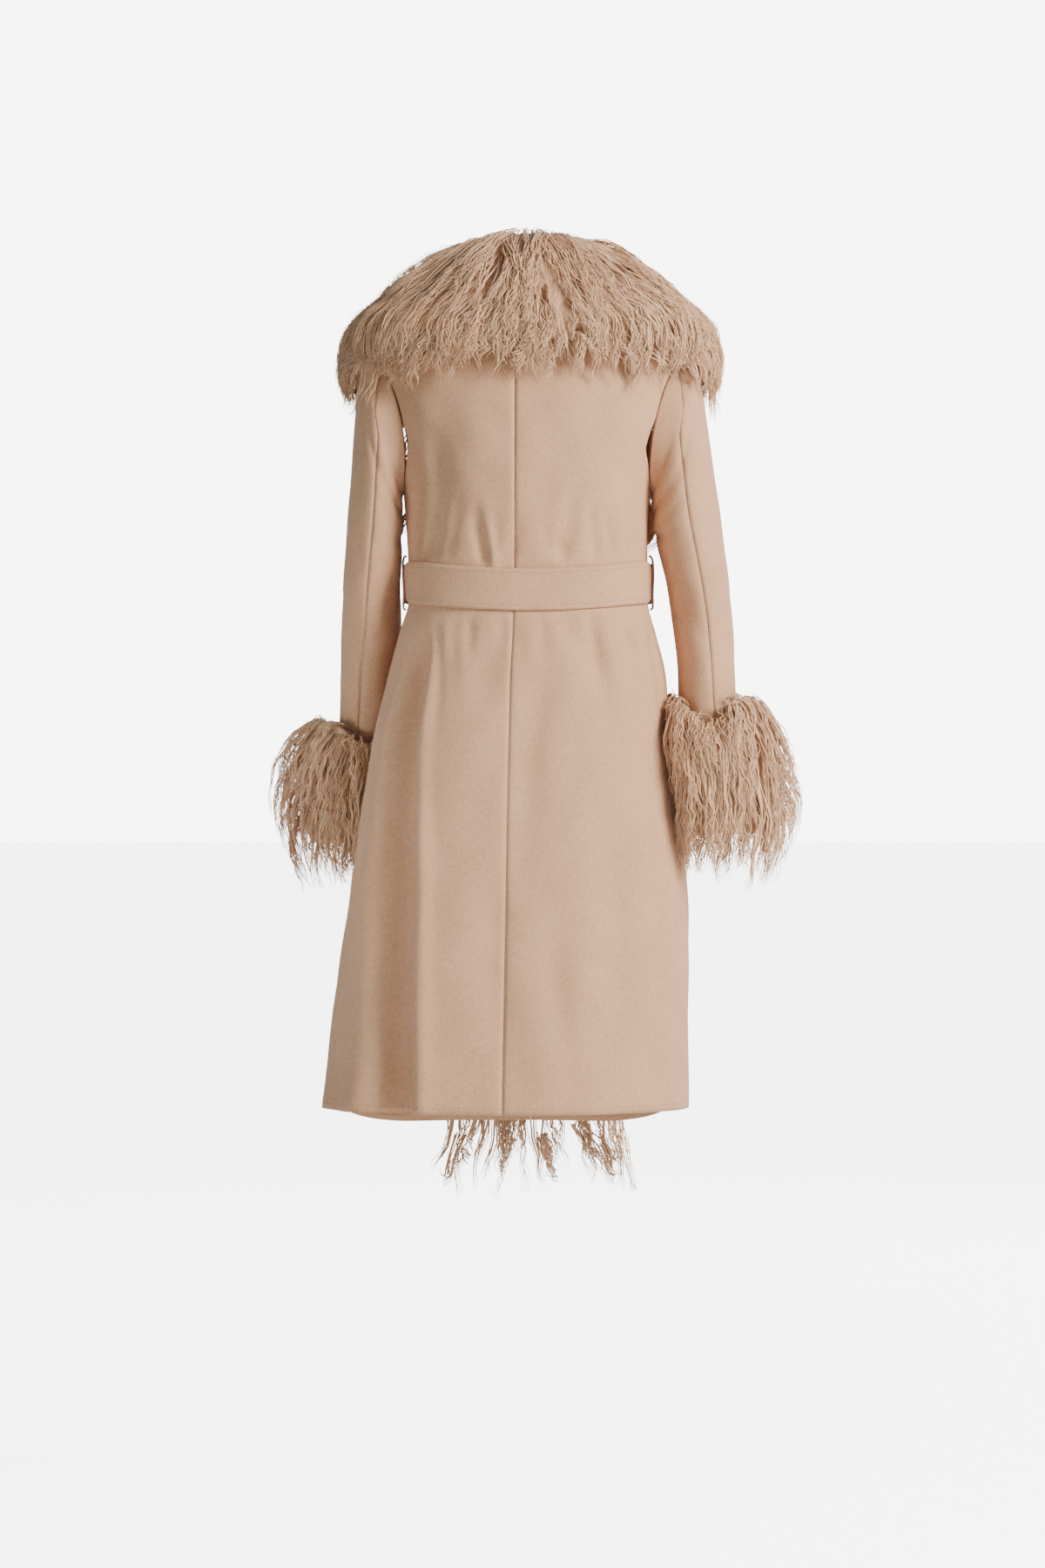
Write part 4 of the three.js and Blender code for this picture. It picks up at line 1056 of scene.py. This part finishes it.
def material_for(kind):
    """Builds each finish once."""
    if not MATERIALS:
        nap = nap_group()
        stitches = stitch_group()
        MATERIALS["wool"] = wool_material("Wool", nap, stitches, 0)
        MATERIALS["panel"] = wool_material("Wool with hem stitches", nap, stitches, 0.008)
        MATERIALS["belt"] = wool_material("Wool with edge stitches", nap, stitches, 0.006)
        MATERIALS["seam"] = wool_material("Wool with seam stitches", nap, stitches, 0.003)
        MATERIALS["locks"] = lock_material()
        MATERIALS["pelt"] = pelt_material()
        MATERIALS["skin"] = skin_material()
    return MATERIALS[kind]


# Cloth.


def body_shell(name, side, back, across, down):
    """One panel of the body, from its middle edge at u = 0 to its side edge at u = 1."""
    bm, u, v = new_grid(across, down)
    top_share = 0.42
    level = np.where(
        v < top_share,
        mix(NECK_Z, WAIST_Z, v / top_share),
        mix(WAIST_Z, BACK_HEM_Z, (np.maximum(v - top_share, 0) / (1 - top_share)) ** 0.93),
    )
    middle = centre_back_angle(level) if back else neckline_angle(side, level)
    edge = armhole_angle(side, 1 if back else -1, level)
    side_seam = side * math.pi / 2
    direction = np.sign(side_seam - middle)
    small_turn = 0.01
    per_radian = body_point(middle + small_turn, level) - body_point(middle, level)
    per_radian = np.linalg.norm(per_radian, axis=-1) / small_turn
    start = middle + direction * (-0.25 if back else SEAM / 2) / per_radian
    angle = mix(start, side_seam - direction * SEAM / 2 / 120, u) + (edge - side_seam) * u * u
    stretch = np.clip((SKIRT_FROM_Z - level) / (SKIRT_FROM_Z - BACK_HEM_Z), 0, 1)
    z = np.where(level < SKIRT_FROM_Z, mix(SKIRT_FROM_Z, hem_z(angle), stretch), level)
    point = body_point(angle, z)
    normal = body_normal(angle, z)
    width = np.abs(angle - middle) * per_radian
    seam_roll = 1.3 * np.exp(-((width / 2.2) ** 2)) if back else 0
    above_hem = z - hem_z(angle)
    hem_fold = 0.7 * smooth((14 - above_hem) / 2.5) - 0.7 * np.exp(-(((above_hem - 8) / 1.3) ** 2))
    hem_fold = hem_fold - 1.0 * np.exp(-((above_hem / 1.6) ** 2))
    ripple = 1.1 * np.sin(9 * angle + 0.011 * z) * np.sin(0.021 * z + 4 * angle)
    ripple = ripple + 0.7 * np.sin(17 * angle - 0.02 * z + 2 * np.sin(0.013 * z)) * np.sin(0.033 * z + 3)
    ripple = ripple * smooth(np.abs(z - BELT_Z) / 60 - 0.5)
    small = bpy.context.scene.coat_cloth.creases * fold_depth(SMALL_FOLDS, angle, z)
    point = point + normal * (hem_fold - seam_roll - ripple - small)[:, None]
    place_vertices(bm, point, normal, np.stack([above_hem, angle * HEM_RADIUS], axis=-1))
    piece = new_piece(
        bm, f"{name}_cloth", material_for("panel"), [name], bpy.context.scene.coat_cloth.thickness
    )


def sleeve_shell(name, side, start, end, across, down):
    """One piece of a sleeve between two seams."""
    bm, u, v = new_grid(across, down)
    row = SLEEVE_ROWS * (0.35 * v * v + 0.65 * v)
    shift = SEAM / 2 / SLEEVE_RADIUS
    turn = mix(start(row) + shift, end(row) - shift, u)
    point = sleeve_point(side, turn, row, 0.0, True)
    inner = sleeve_point(side, turn, row, 6.0, True)
    outward = unit(point - inner)
    span = np.abs(end(row) - start(row)) * SLEEVE_RADIUS
    from_back_seam = (1 - u if name.startswith("upper") else u) * span
    roll = 1.0 * np.exp(-((from_back_seam / 2.0) ** 2)) * smooth(row - 0.8)
    point = point - outward * roll[:, None]
    place_vertices(bm, point, outward, np.stack([from_back_seam, row * SLEEVE_ROW_LENGTH], axis=-1))
    piece = new_piece(
        bm, f"{name}_cloth", material_for("seam"), [name], bpy.context.scene.coat_cloth.thickness
    )


class COAT_OT_body(bpy.types.Operator):
    """Makes the backs and the fronts"""

    bl_idname = "coat.body"
    bl_label = "Body"

    def execute(self, context):
        for side, word in SIDES.items():
            body_shell(f"back_{word}", side, True, 60, 124)
            body_shell(f"front_{word}", side, False, 36, 110)
        return {"FINISHED"}


class COAT_OT_sleeves(bpy.types.Operator):
    """Makes the two pieces of each sleeve"""

    bl_idname = "coat.sleeves"
    bl_label = "Sleeves"

    def execute(self, context):
        for side, word in SIDES.items():

            def back_seam(row, side=side):
                return back_seam_turn(side, row)

            def front_seam(row):
                return np.full(np.shape(row), math.radians(-FRONT_SLEEVE_SEAM))

            def front_seam_round(row):
                return np.full(np.shape(row), math.radians(360 - FRONT_SLEEVE_SEAM))

            upper = f"upper_sleeve_{word}"
            under = f"under_sleeve_{word}"
            sleeve_shell(upper, side, front_seam, back_seam, 36, 70)
            sleeve_shell(under, side, back_seam, front_seam_round, 32, 70)
        return {"FINISHED"}


def ribbon(name, point_at, across, down, width, length, replaced):
    """A double strip of cloth with stitched edges: point_at gives points by u, v and a distance out."""
    bm, u, v = new_grid(across, down)
    point = point_at(u, v, BELT_THICKNESS)
    outward = unit(point - point_at(u, v, 0.0))
    from_edge = np.minimum(u, 1 - u) * width
    roll = 1.1 * np.exp(-((from_edge / 1.5) ** 2))
    groove = 0.45 * np.exp(-(((from_edge - 6) / 1.2) ** 2))
    wave = 0.5 * np.sin(0.035 * v * length + 3 * u) * np.sin(0.013 * v * length + 1)
    point = point + outward * (wave - roll - groove)[:, None]
    place_vertices(bm, point, outward, np.stack([from_edge, v * length], axis=-1))
    piece = new_piece(bm, name, material_for("belt"), replaced, BELT_THICKNESS * MM)


def front_y(x, z, out):
    angle = angle_at_x(x, z, 1.9, 4.4)
    return body_point(angle, z)[..., 1] - out


class COAT_OT_belt(bpy.types.Operator):
    """Makes the belt, its knot, its hanging ends and its loops"""

    bl_idname = "coat.belt"
    bl_label = "Belt"

    def execute(self, context):
        middle = belt_height(math.pi)
        reach = KNOT_HALF_WIDTH + SEAM - BELT_OVER_FUR * 0.07
        first = angle_at_x(CENTRE_FRONT_X - reach, np.array(middle), -1.7, -3.1)
        last = angle_at_x(CENTRE_FRONT_X + reach, np.array(middle), 1.7, 3.1)

        def belt_at(u, v, out):
            angle = mix(first, last, v)
            z = belt_height(angle) + (1 - 2 * u) * belt_half_height(angle)
            normal = normal_of(body_point, angle, z, 0.02, 6)
            pinch = np.exp(-(((np.abs(angle) - math.pi / 2) / 0.22) ** 2))
            crumple = 1.2 * pinch * np.sin(9 * u + 20 * angle)
            return body_point(angle, z) + normal * (belt_offset(angle) + out + np.abs(crumple))[..., None]

        ribbon("belt_cloth", belt_at, 14, 220, 52, 790, ["belt"])
        for side, word in SIDES.items():
            table = BELT_ENDS[side]

            def end_at(u, v, out, table=table, side=side):
                index = v * (len(table["i"]) - 1)
                read = {name: along(table, "i", name, index) for name in table if name != "i"}
                x = CENTRE_FRONT_X + side * (read["shift"] + (2 * u - 1) * read["half"])
                curl = 2.5 * np.cos(math.pi * u) * smooth(index)
                y = front_y(CENTRE_FRONT_X + 0 * x, read["z"], read["out"]) - out + curl
                return np.stack([x, y, read["z"]], axis=-1)

            length = 0.33 if side > 0 else 0.3
            name = f"belt_end_{word}"
            ribbon(f"{name}_cloth", end_at, 12, 60, 50, length * 1000, [name])
            self.make_loop(side, word)
        self.make_knot(middle)
        return {"FINISHED"}

    def make_knot(self, middle):
        bm, u, v = new_grid(40, 40)
        across = 2 * u - 1
        down = 2 * v - 1
        x = CENTRE_FRONT_X + KNOT_HALF_WIDTH * across * (1 - 0.16 * down * down)
        z = middle - KNOT_HALF_HEIGHT * down * (1 - 0.12 * across * across)
        dome = (1 - across**4) * (1 - down**4)
        wrap = 4 * np.exp(-(((across + 0.55 * down) / 0.32) ** 2))
        crease = 2.2 * np.exp(-(((across + 0.55 * down - 0.5) / 0.07) ** 2))
        crease = crease + 2.2 * np.exp(-(((across + 0.55 * down + 0.5) / 0.07) ** 2))
        depth = 4 + (KNOT_DEPTH - 4) * np.sqrt(dome) + (wrap - crease) * dome
        y = front_y(x, z, BELT_OVER_FUR + 0.2) - depth
        point = np.stack([x, y, z], axis=-1)
        outward = np.broadcast_to(np.array([0.0, -1.0, 0.0]), point.shape)
        edge = np.stack([np.minimum(u, 1 - u) * 54, v * 54], axis=-1)
        place_vertices(bm, point, outward, edge)
        new_piece(bm, "belt_knot_cloth", material_for("wool"), ["belt_knot"], 4 * MM)

    def make_loop(self, side, word):
        angle = side * math.pi / 2
        middle = belt_height(angle)
        high = belt_half_height(angle) + 16
        stand = belt_offset(angle) + BELT_THICKNESS + 1.2
        path = columns(
            "t z out",
            (0, middle + high, 0.5),
            (0.12, middle + high - 3, stand * 0.7),
            (0.25, middle + high - 12, stand),
            (0.75, middle - high + 12, stand),
            (0.88, middle - high + 3, stand * 0.7),
            (1, middle - high, 0.5),
        )
        bm, u, v = new_grid(4, 40)
        z = along(path, "t", "z", v)
        out = along(path, "t", "out", v) + 2.2 - 0.5 * np.abs(2 * u - 1) ** 3
        point = body_point(angle + (u - 0.5) * LOOP_WIDTH / 105, z)
        point[:, 0] += side * out
        outward = np.broadcast_to(np.array([float(side), 0.0, 0.0]), point.shape)
        edge = np.stack([np.minimum(u, 1 - u) * LOOP_WIDTH, v * 70], axis=-1)
        place_vertices(bm, point, outward, edge)
        name = f"belt_loop_{word}"
        new_piece(bm, f"{name}_cloth", material_for("wool"), [name], 2.2 * MM)


# Fur.


def lock_mesh(name, paths, widths, shares, side_hint, lock, rng):
    """Joins many tapering strands into one mesh.

    Paths is strands by steps by xyz, in millimetres, and lock tells which lock each strand is in.
    """
    count, steps, _ = paths.shape
    ahead = unit(np.gradient(paths, axis=1))
    across = unit(np.cross(ahead, side_hint[:, None, :]))
    third = np.cross(across, ahead)
    turns = np.array([0.0, 2 * math.pi / 3, 4 * math.pi / 3])
    spin = rng.uniform(0, 2 * math.pi, (count, 1, 1)) + turns[None, None, :]
    flat = 0.62
    ring = across[:, :, None, :] * np.cos(spin)[..., None]
    ring = ring + third[:, :, None, :] * flat * np.sin(spin)[..., None]
    t = shares
    taper = (0.75 + 0.5 * np.sin(math.pi * np.minimum(t * 1.3, 1))) * (1 - t) ** 0.45 + 0.12
    radius = widths[:, None] / 2 * taper[None, :]
    points = paths[:, :, None, :] + ring * radius[:, :, None, None]
    vertices = points.reshape(-1, 3) * MM
    base = (np.arange(count) * steps * 3)[:, None, None]
    step = (np.arange(steps - 1) * 3)[None, :, None]
    corner = np.arange(3)[None, None, :]
    following = (corner + 1) % 3
    near = base + step + corner
    far = base + step + following
    quads = np.stack([near, far, far + 3, near + 3], -1).reshape(-1, 4)
    first = (np.arange(count) * steps * 3)[:, None]
    caps = np.concatenate([first + np.array([2, 1, 0]), first + (steps - 1) * 3 + np.array([0, 1, 2])])
    loops = np.concatenate([quads.ravel(), caps.ravel()])
    starts = np.concatenate([np.arange(len(quads)) * 4, len(quads) * 4 + np.arange(len(caps)) * 3])
    mesh = bpy.data.meshes.new(name)
    mesh.vertices.add(len(vertices))
    mesh.vertices.foreach_set("co", vertices.ravel())
    mesh.loops.add(len(loops))
    mesh.loops.foreach_set("vertex_index", loops.astype(np.int32))
    mesh.polygons.add(len(starts))
    mesh.polygons.foreach_set("loop_start", starts.astype(np.int32))
    mesh.polygons.foreach_set("use_smooth", np.ones(len(starts), bool))
    mesh.update(calc_edges=True)
    tone = np.clip(0.65 * scattered(lock, 23) + 0.35 * rng.uniform(0, 1, count), 0, 1)
    lock_tone = np.repeat(tone * 0.94, steps * 3) + np.tile(np.array([0.0, 0.02, 0.04]), count * steps)
    lock_rise = np.tile(np.repeat(t, 3), count)
    layer = mesh.uv_layers.new(name="UVMap")
    values = np.stack([lock_tone[loops], lock_rise[loops]], axis=-1)
    layer.data.foreach_set("uv", values.ravel())
    mesh.materials.append(material_for("locks"))
    piece = bpy.data.objects.new(name, mesh)
    bpy.context.scene.collection.objects.link(piece)
    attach(piece, "root")


def scattered(values, seed):
    """A repeatable number between 0 and 1 for each whole number."""
    return np.modf(np.abs(np.sin(values * 12.9898 + seed * 78.233) * 43758.5453))[0]


# Steps of the two kinds of strand: smooth ones, and ones that are finely stepped to crimp at the tip.
SMOOTH_SHARES = np.linspace(0, 1, 8)
CURLY_SHARES = np.concatenate([np.linspace(0, 0.4, 4)[:-1], np.linspace(0.4, 1, 11)])
HAIRS_PER_LOCK = 6
# How far the locks and the strands of a lock stray from their fall, in millimetres.
LOCK_SPREAD = 5.5
LOCK_LEAN = 7
STRAND_LEAN = 2.2
LOCK_HOOK = 4.5
STRAND_HOOK = 2

COLLAR_SEED = 31
FRONT_SEED = 57
CUFF_SEED = 83


class Comb:
    """Grows wavy hair on a fur surface, in locks that share their fall, their crimp and their tip."""

    def __init__(self, surface, seed):
        self.surface = surface
        self.rng = np.random.default_rng(seed)

    def spread(self, low, high, count):
        return self.rng.uniform(low, high, (count, 1))

    def centres(self, s, w, run_s, run_w, last, shares, low, high):
        """The middle of each lock, as locks by steps by xyz, and the ways along it, across it and up."""
        t = shares[None, :]
        top = self.spread(*high, len(s))
        rise = low + (top - low) * np.sin(math.pi / 2 * np.minimum(t * 1.7, 1))
        run_w = np.maximum(np.minimum(run_w, last - w), 0.3 * run_w)
        along_s = s[:, None] + run_s[:, None] * t
        along_w = w[:, None] + run_w[:, None] * t
        middle = self.surface(along_s, along_w, rise)
        up = unit(self.surface(along_s, along_w, rise + 0.3) - middle)
        ahead = unit(np.gradient(middle, axis=1))
        return middle, ahead, unit(np.cross(ahead, up)), up

    def grow(self, name, s, w, run_s, run_w, last, curly, low, high, width):
        """Each s, w is the root of a lock, run_s and run_w its way, and last the furthest w.

        Low is the share of the pile at the roots, and high the range of shares at the tips.
        """
        fur = bpy.context.scene.coat_fur
        rng = self.rng
        count = len(s)
        shares = CURLY_SHARES if curly else SMOOTH_SHARES
        run_w = run_w * rng.uniform(0.75, 1.2, count)
        middle, ahead, across, up = self.centres(s, w, run_s, run_w, last, shares, low, high)
        t = shares[None, None, :]
        each = (count, HAIRS_PER_LOCK, 1)
        lone = (count, 1, 1)
        slow, quick = (0.8, 3.3) if curly else (1.7, 0)
        turns = slow * t + quick * np.maximum(t - 0.35, 0)
        turns = 2 * math.pi * turns * rng.uniform(0.85, 1.15, lone)
        phase = rng.uniform(0, 2 * math.pi, lone) + rng.normal(0, 0.3, each)
        size = fur.curl / MM * rng.uniform(0.55, 1.25, lone) * rng.uniform(0.7, 1.2, each)
        size = size * (0.3 + 0.7 * t)
        gather = rng.uniform(0.55, 0.95, lone) * t**0.8
        lean = rng.normal(0, LOCK_LEAN, lone) + rng.normal(0, STRAND_LEAN, each)
        hook = rng.normal(0, LOCK_HOOK, lone) + rng.normal(0, STRAND_HOOK, each)
        hook = hook * np.clip((t - 0.8) / 0.2, 0, 1) ** 2
        sideways = rng.normal(0, LOCK_SPREAD, each) * (1 - gather) + size * np.sin(turns + phase)
        sideways = sideways + lean * t**1.5 + hook
        raised = rng.normal(0, 1.6, each) + 0.6 * size * np.cos(turns + phase)
        raised = raised + np.abs(rng.normal(0, 1.8, lone)) * t**2
        shift = rng.uniform(-6, 9, each) * (0.3 + 0.7 * t)
        paths = middle[:, None] + across[:, None] * sideways[..., None]
        paths = paths + up[:, None] * raised[..., None] + ahead[:, None] * shift[..., None]
        paths = paths.reshape(-1, len(shares), 3)
        lock = np.repeat(np.arange(count), HAIRS_PER_LOCK)
        widths = fur.lock_width / MM * width * rng.uniform(0.5, 1.2, len(paths))
        hint = np.repeat(up[:, len(shares) // 2], HAIRS_PER_LOCK, axis=0)
        lock_mesh(name, paths, widths, shares, hint, lock, rng)


def lock_count(hairs):
    return hairs // HAIRS_PER_LOCK // 1


def pelt(name, surface, across, down, replaced, round_shape=False):
    """The dense undercoat: a walled sheet from a function of u, v and the share of the pile."""
    bm, u, v = new_grid(across, down)
    clump = 0.05 * np.sin(61 * u + 9 * np.sin(23 * v)) * np.sin(47 * v + 5 * np.sin(17 * u))
    point = surface(u, v, PELT_SHARE + clump)
    outward = unit(point - surface(u, v, 0.3))
    place_vertices(bm, point, outward, weld=round_shape)
    new_piece(bm, name, material_for("pelt"), replaced, PELT_WALL * MM)


class COAT_OT_collar(bpy.types.Operator):
    """Makes the fur collar"""

    bl_idname = "coat.collar"
    bl_label = "Collar"

    def execute(self, context):
        fur = context.scene.coat_fur
        for side, word in SIDES.items():

            def true_surface(s, w, share, side=side, word=word):
                over_shoulder = np.exp(-(((s - 0.5) / 0.24) ** 2))
                swell = 1 + over_shoulder * (along(COLLAR_SWELL, "w", word, w) - 1)
                deep = np.minimum(1, HAIR_DEPTH / along(COLLAR_PILE, "w", "thick", w))
                share = 1 - (1 - share) * deep
                return fur_point(collar_place, side, s, w, COLLAR_PILE, share * swell)

            surface = tabled(true_surface, (0, 0.998), (0, 1.5), (90, 46))

            def undercoat(u, v, share, surface=surface):
                rim = NECK_RIM_ROWS / COLLAR_PELT_ROWS
                risen = 0.02 + 0.98 * np.clip(v / rim, 0, 1)
                down = np.clip((v - rim) / (1 - rim), 0, 1)
                share = mix(SHARE_AT_NECK_SKIN, share, risen) * (1 - 0.6 * smooth((down - 0.8) / 0.2))
                return surface(u, down * (0.84 + 0.14 * smooth(u / 0.4)), share)

            pelt(f"fur_collar_pelt_{word}", undercoat, 84, COLLAR_PELT_ROWS, ["fur_collar"])
            comb = Comb(surface, COLLAR_SEED + side)
            rng = comb.rng
            for curly, kind in ((False, "strands"), (True, "curls")):
                count = lock_count(fur.collar_curls if curly else fur.collar_strands)
                s = rng.uniform(-0.02, 0.985, count)
                w = rng.uniform(0, 1, count) ** 0.8 * 0.92
                run_w = rng.uniform(0.42, 0.66, count)
                towards_front = 0.15 * np.sin(math.pi * np.clip(s / 0.82, 0, 1))
                run_s = (towards_front + rng.normal(0, 0.02, count)) * run_w
                last = 1.05 + 0.24 * smooth(s / 0.45) + rng.uniform(-0.28, 0.26, count)
                high = (0.8, 1.1) if curly else (0.72, 0.92)
                width = 0.72 if curly else 1
                name = f"fur_collar_{kind}_{word}"
                comb.grow(name, s, w, run_s, run_w, last, curly, 0.5, high, width)
            count = lock_count(fur.tuft_strands)
            s = np.abs(rng.normal(0, 0.08, count))
            w = rng.uniform(0, 0.12, count)
            run_w = rng.uniform(0.4, 0.6, count)
            run_s = rng.normal(0.02, 0.05, count)
            name = f"fur_collar_tuft_{word}"
            comb.grow(name, s, w, run_s, run_w, 0 * s + 1, True, 0.8, (0.98, 1.1), 0.7)
        return {"FINISHED"}


class COAT_OT_fronts(bpy.types.Operator):
    """Makes the fur of the lapels and front edges"""

    bl_idname = "coat.fronts"
    bl_label = "Front fur"

    def execute(self, context):
        fur = context.scene.coat_fur
        for side, word in SIDES.items():

            def true_surface(s, w, share, side=side):
                return fur_point(front_place, side, s, w, FRONT_PILE, share)

            surface = tabled(true_surface, (0.0015, 1), (0, 1.36), (220, 30))
            pelt(
                f"fur_front_pelt_{word}",
                lambda u, v, share: surface(v * 0.91, u * 1.1, share),
                18,
                100,
                [f"fur_front_{word}"],
            )
            comb = Comb(lambda s, w, share: surface(w, s, share), FRONT_SEED + side)
            rng = comb.rng
            for curly, kind in ((False, "strands"), (True, "curls")):
                count = lock_count(fur.front_curls if curly else fur.front_strands)
                s = rng.uniform(0.0, 0.97, count)
                w = rng.uniform(0.02, 1.05, count)
                down = rng.uniform(0.07, 0.115, count)
                crosses_belt = (s < FRONT_SHARE_AT_BELT) & (s + down > FRONT_SHARE_AT_BELT)
                down = np.where(crosses_belt, FRONT_SHARE_AT_BELT - s, down)
                down = np.minimum(down, 1.0 - s)
                sideways = (0.08 + 0.3 * w) * rng.uniform(0.3, 1.0, count)
                width = 0.8 if curly else 1.1
                high = (0.8, 1.05) if curly else (0.72, 0.9)
                name = f"fur_front_{kind}_{word}"
                comb.grow(name, w, s, sideways, down, 0 * s + 1.2, curly, 0.5, high, width)
        return {"FINISHED"}


class COAT_OT_cuffs(bpy.types.Operator):
    """Makes the fur cuffs"""

    bl_idname = "coat.cuffs"
    bl_label = "Cuffs"

    def execute(self, context):
        fur = context.scene.coat_fur
        for side, word in SIDES.items():

            def pelt_at(u, v, share, side=side):
                drawn_in = share * (1 - 0.35 * smooth((v - 0.5) / 0.5))
                return cuff_point(side, u * 2 * math.pi, 0.3 + v * 5.1, drawn_in)

            def hair_at(s, w, share, side=side):
                return cuff_point(side, s * 2 * math.pi, w, share, CUFF_HAIR)

            hair = tabled(hair_at, (0, 1), (0, 8), (90, 80))
            pelt(f"fur_cuff_pelt_{word}", pelt_at, 60, 26, [f"fur_cuff_{word}"], round_shape=True)
            comb = Comb(lambda s, w, share: hair(s % 1.0, w, share), CUFF_SEED + side)
            rng = comb.rng
            for curly, kind in ((False, "strands"), (True, "curls")):
                count = lock_count(fur.cuff_curls if curly else fur.cuff_strands)
                s = rng.uniform(0, 1, count)
                w = 0.5 + 4.2 * rng.uniform(0, 1, count) ** 1.1
                run_w = rng.uniform(2.2, 3.6, count)
                run_s = rng.normal(0, 0.02, count)
                last = rng.uniform(6.4, 8, count)
                width = 0.8 if curly else 1.1
                high = (0.82, 1.08) if curly else (0.72, 0.92)
                name = f"fur_cuff_{kind}_{word}"
                comb.grow(name, s, w, run_s, run_w, last, curly, 0.5, high, width)
            self.make_skin(side, word)
        return {"FINISHED"}

    def make_skin(self, side, word):
        """The tanned skin of the cuff, which stands open round the sleeve at its cut edge."""
        bm, u, v = new_grid(56, 10)
        turn = u * 2 * math.pi
        top, bottom = CUFF_HEIGHTS[side]
        edge = mix(top, bottom, CUFF_PROFILE["down"][0])
        z = mix(edge + 1, CUFF_SKIN_END_Z, v)
        row = cuff_row(side, z)
        centre = (sleeve_point(side, 0, row) + sleeve_point(side, math.pi, row)) / 2
        away = sleeve_point(side, turn, row) - centre
        away[:, 2] = 0
        room = along(CUFF_ROOM, "down", "room", (top - z) / (top - bottom)) + 2
        outward = unit(away)
        point = centre + outward * (np.linalg.norm(away, axis=1) + room)[:, None]
        point[:, 2] = z - 3 * cuff_dip(np.degrees(turn)) * (1 - v)
        place_vertices(bm, point, outward, weld=True)
        new_piece(bm, f"fur_cuff_skin_{word}", material_for("skin"), (), 1.6 * MM)


# Studio.


def add_area(name, location, target, size, energy, colour, spread=180):
    data = bpy.data.lights.new(name, "AREA")
    data.shape = "SQUARE"
    data.size = size
    data.energy = energy
    data.color = colour
    data.spread = math.radians(spread)
    light = bpy.data.objects.new(name, data)
    light.location = location
    light.rotation_euler = (Vector(target) - Vector(location)).to_track_quat("-Z", "Y").to_euler()
    bpy.context.scene.collection.objects.link(light)


class COAT_OT_studio(bpy.types.Operator):
    """Makes the floor, the light and the camera"""

    bl_idname = "coat.studio"
    bl_label = "Studio"

    def execute(self, context):
        scene = context.scene
        bm = bmesh.new()
        bmesh.ops.create_circle(bm, cap_ends=True, segments=96, radius=FLOOR_RADIUS)
        for vert in bm.verts:
            vert.co.z = FLOOR_Z
        mesh = bpy.data.meshes.new("floor")
        bm.to_mesh(mesh)
        bm.free()
        floor = bpy.data.objects.new("floor", mesh)
        scene.collection.objects.link(floor)
        material, tree, shader = new_material("Studio floor")
        shader.inputs["Base Color"].default_value = (0.86, 0.855, 0.83, 1)
        shader.inputs["Roughness"].default_value = 0.9
        shader.inputs["Specular IOR Level"].default_value = 0.1
        shader.inputs["Emission Color"].default_value = (*PAPER_WHITE, 1)
        path = tree.nodes.new("ShaderNodeLightPath")
        glow = math_node(tree, "MULTIPLY", path.outputs["Is Camera Ray"], FLOOR_GLOW)
        tree.links.new(glow, shader.inputs["Emission Strength"])
        mesh.materials.append(material)
        world = bpy.data.worlds.new("Studio")
        scene.world = world
        world.use_nodes = True
        tree = world.node_tree
        background = tree.nodes["Background"]
        seen = tree.nodes.new("ShaderNodeLightPath").outputs["Is Camera Ray"]
        tree.links.new(mix_colour(tree, seen, COOL_SKY, PAPER_WHITE), background.inputs["Color"])
        strength = math_node(tree, "MULTIPLY_ADD", seen, WALL_GLOW, SKY_LIGHT)
        tree.links.new(strength, background.inputs["Strength"])
        middle = (0, 0, -0.5)
        add_area("Key", (-3.5, 2.7, 1.4), middle, 1.7, 450, (1.0, 0.985, 0.96))
        add_area("Fill", (3.2, 2.6, 0.2), middle, 2.4, 5, (0.82, 0.92, 1.0))
        add_area("Low left", (1.9, 1.5, -0.8), (0.3, 0, -0.6), 0.5, 0.65, (0.9, 0.96, 1.0), 24)
        add_area("Front", (-1.6, -3.6, 1.0), middle, 2.4, 110, (1.0, 0.99, 0.97))
        data = bpy.data.cameras.new("Camera")
        data.lens = CAMERA_LENS
        camera = bpy.data.objects.new("Camera", data)
        camera.location = (CAMERA_X, CAMERA_DISTANCE, FLOOR_Z + EYE_HEIGHT)
        camera.rotation_euler = (math.pi / 2, 0, math.pi)
        scene.collection.objects.link(camera)
        scene.camera = camera
        return {"FINISHED"}


class COAT_PT_panel(bpy.types.Panel):
    """Lists the pieces of the coat"""

    bl_label = "Coat"
    bl_idname = "COAT_PT_panel"
    bl_space_type = "VIEW_3D"
    bl_region_type = "UI"
    bl_category = "Coat"

    def draw(self, context):
        layout = self.layout
        for settings in (context.scene.coat_cloth, context.scene.coat_fur):
            for name in settings.__annotations__:
                layout.prop(settings, name)
        for operator in OPERATORS:
            layout.operator(operator.bl_idname)


OPERATORS = (
    COAT_OT_studio,
    COAT_OT_body,
    COAT_OT_sleeves,
    COAT_OT_belt,
    COAT_OT_collar,
    COAT_OT_fronts,
    COAT_OT_cuffs,
)
CLASSES = (CoatCloth, CoatFur) + OPERATORS + (COAT_PT_panel,)


def register():
    for cls in CLASSES:
        bpy.utils.register_class(cls)
    bpy.types.Scene.coat_cloth = bpy.props.PointerProperty(type=CoatCloth)
    bpy.types.Scene.coat_fur = bpy.props.PointerProperty(type=CoatFur)


def unregister():
    del bpy.types.Scene.coat_cloth
    del bpy.types.Scene.coat_fur
    for cls in reversed(CLASSES):
        bpy.utils.unregister_class(cls)


def main():
    register()
    bpy.ops.coat.studio()
    bpy.ops.coat.body()
    bpy.ops.coat.sleeves()
    bpy.ops.coat.belt()
    bpy.ops.coat.collar()
    bpy.ops.coat.fronts()
    bpy.ops.coat.cuffs()
    bpy.context.view_layer.update()


if __name__ == "__main__":
    main()
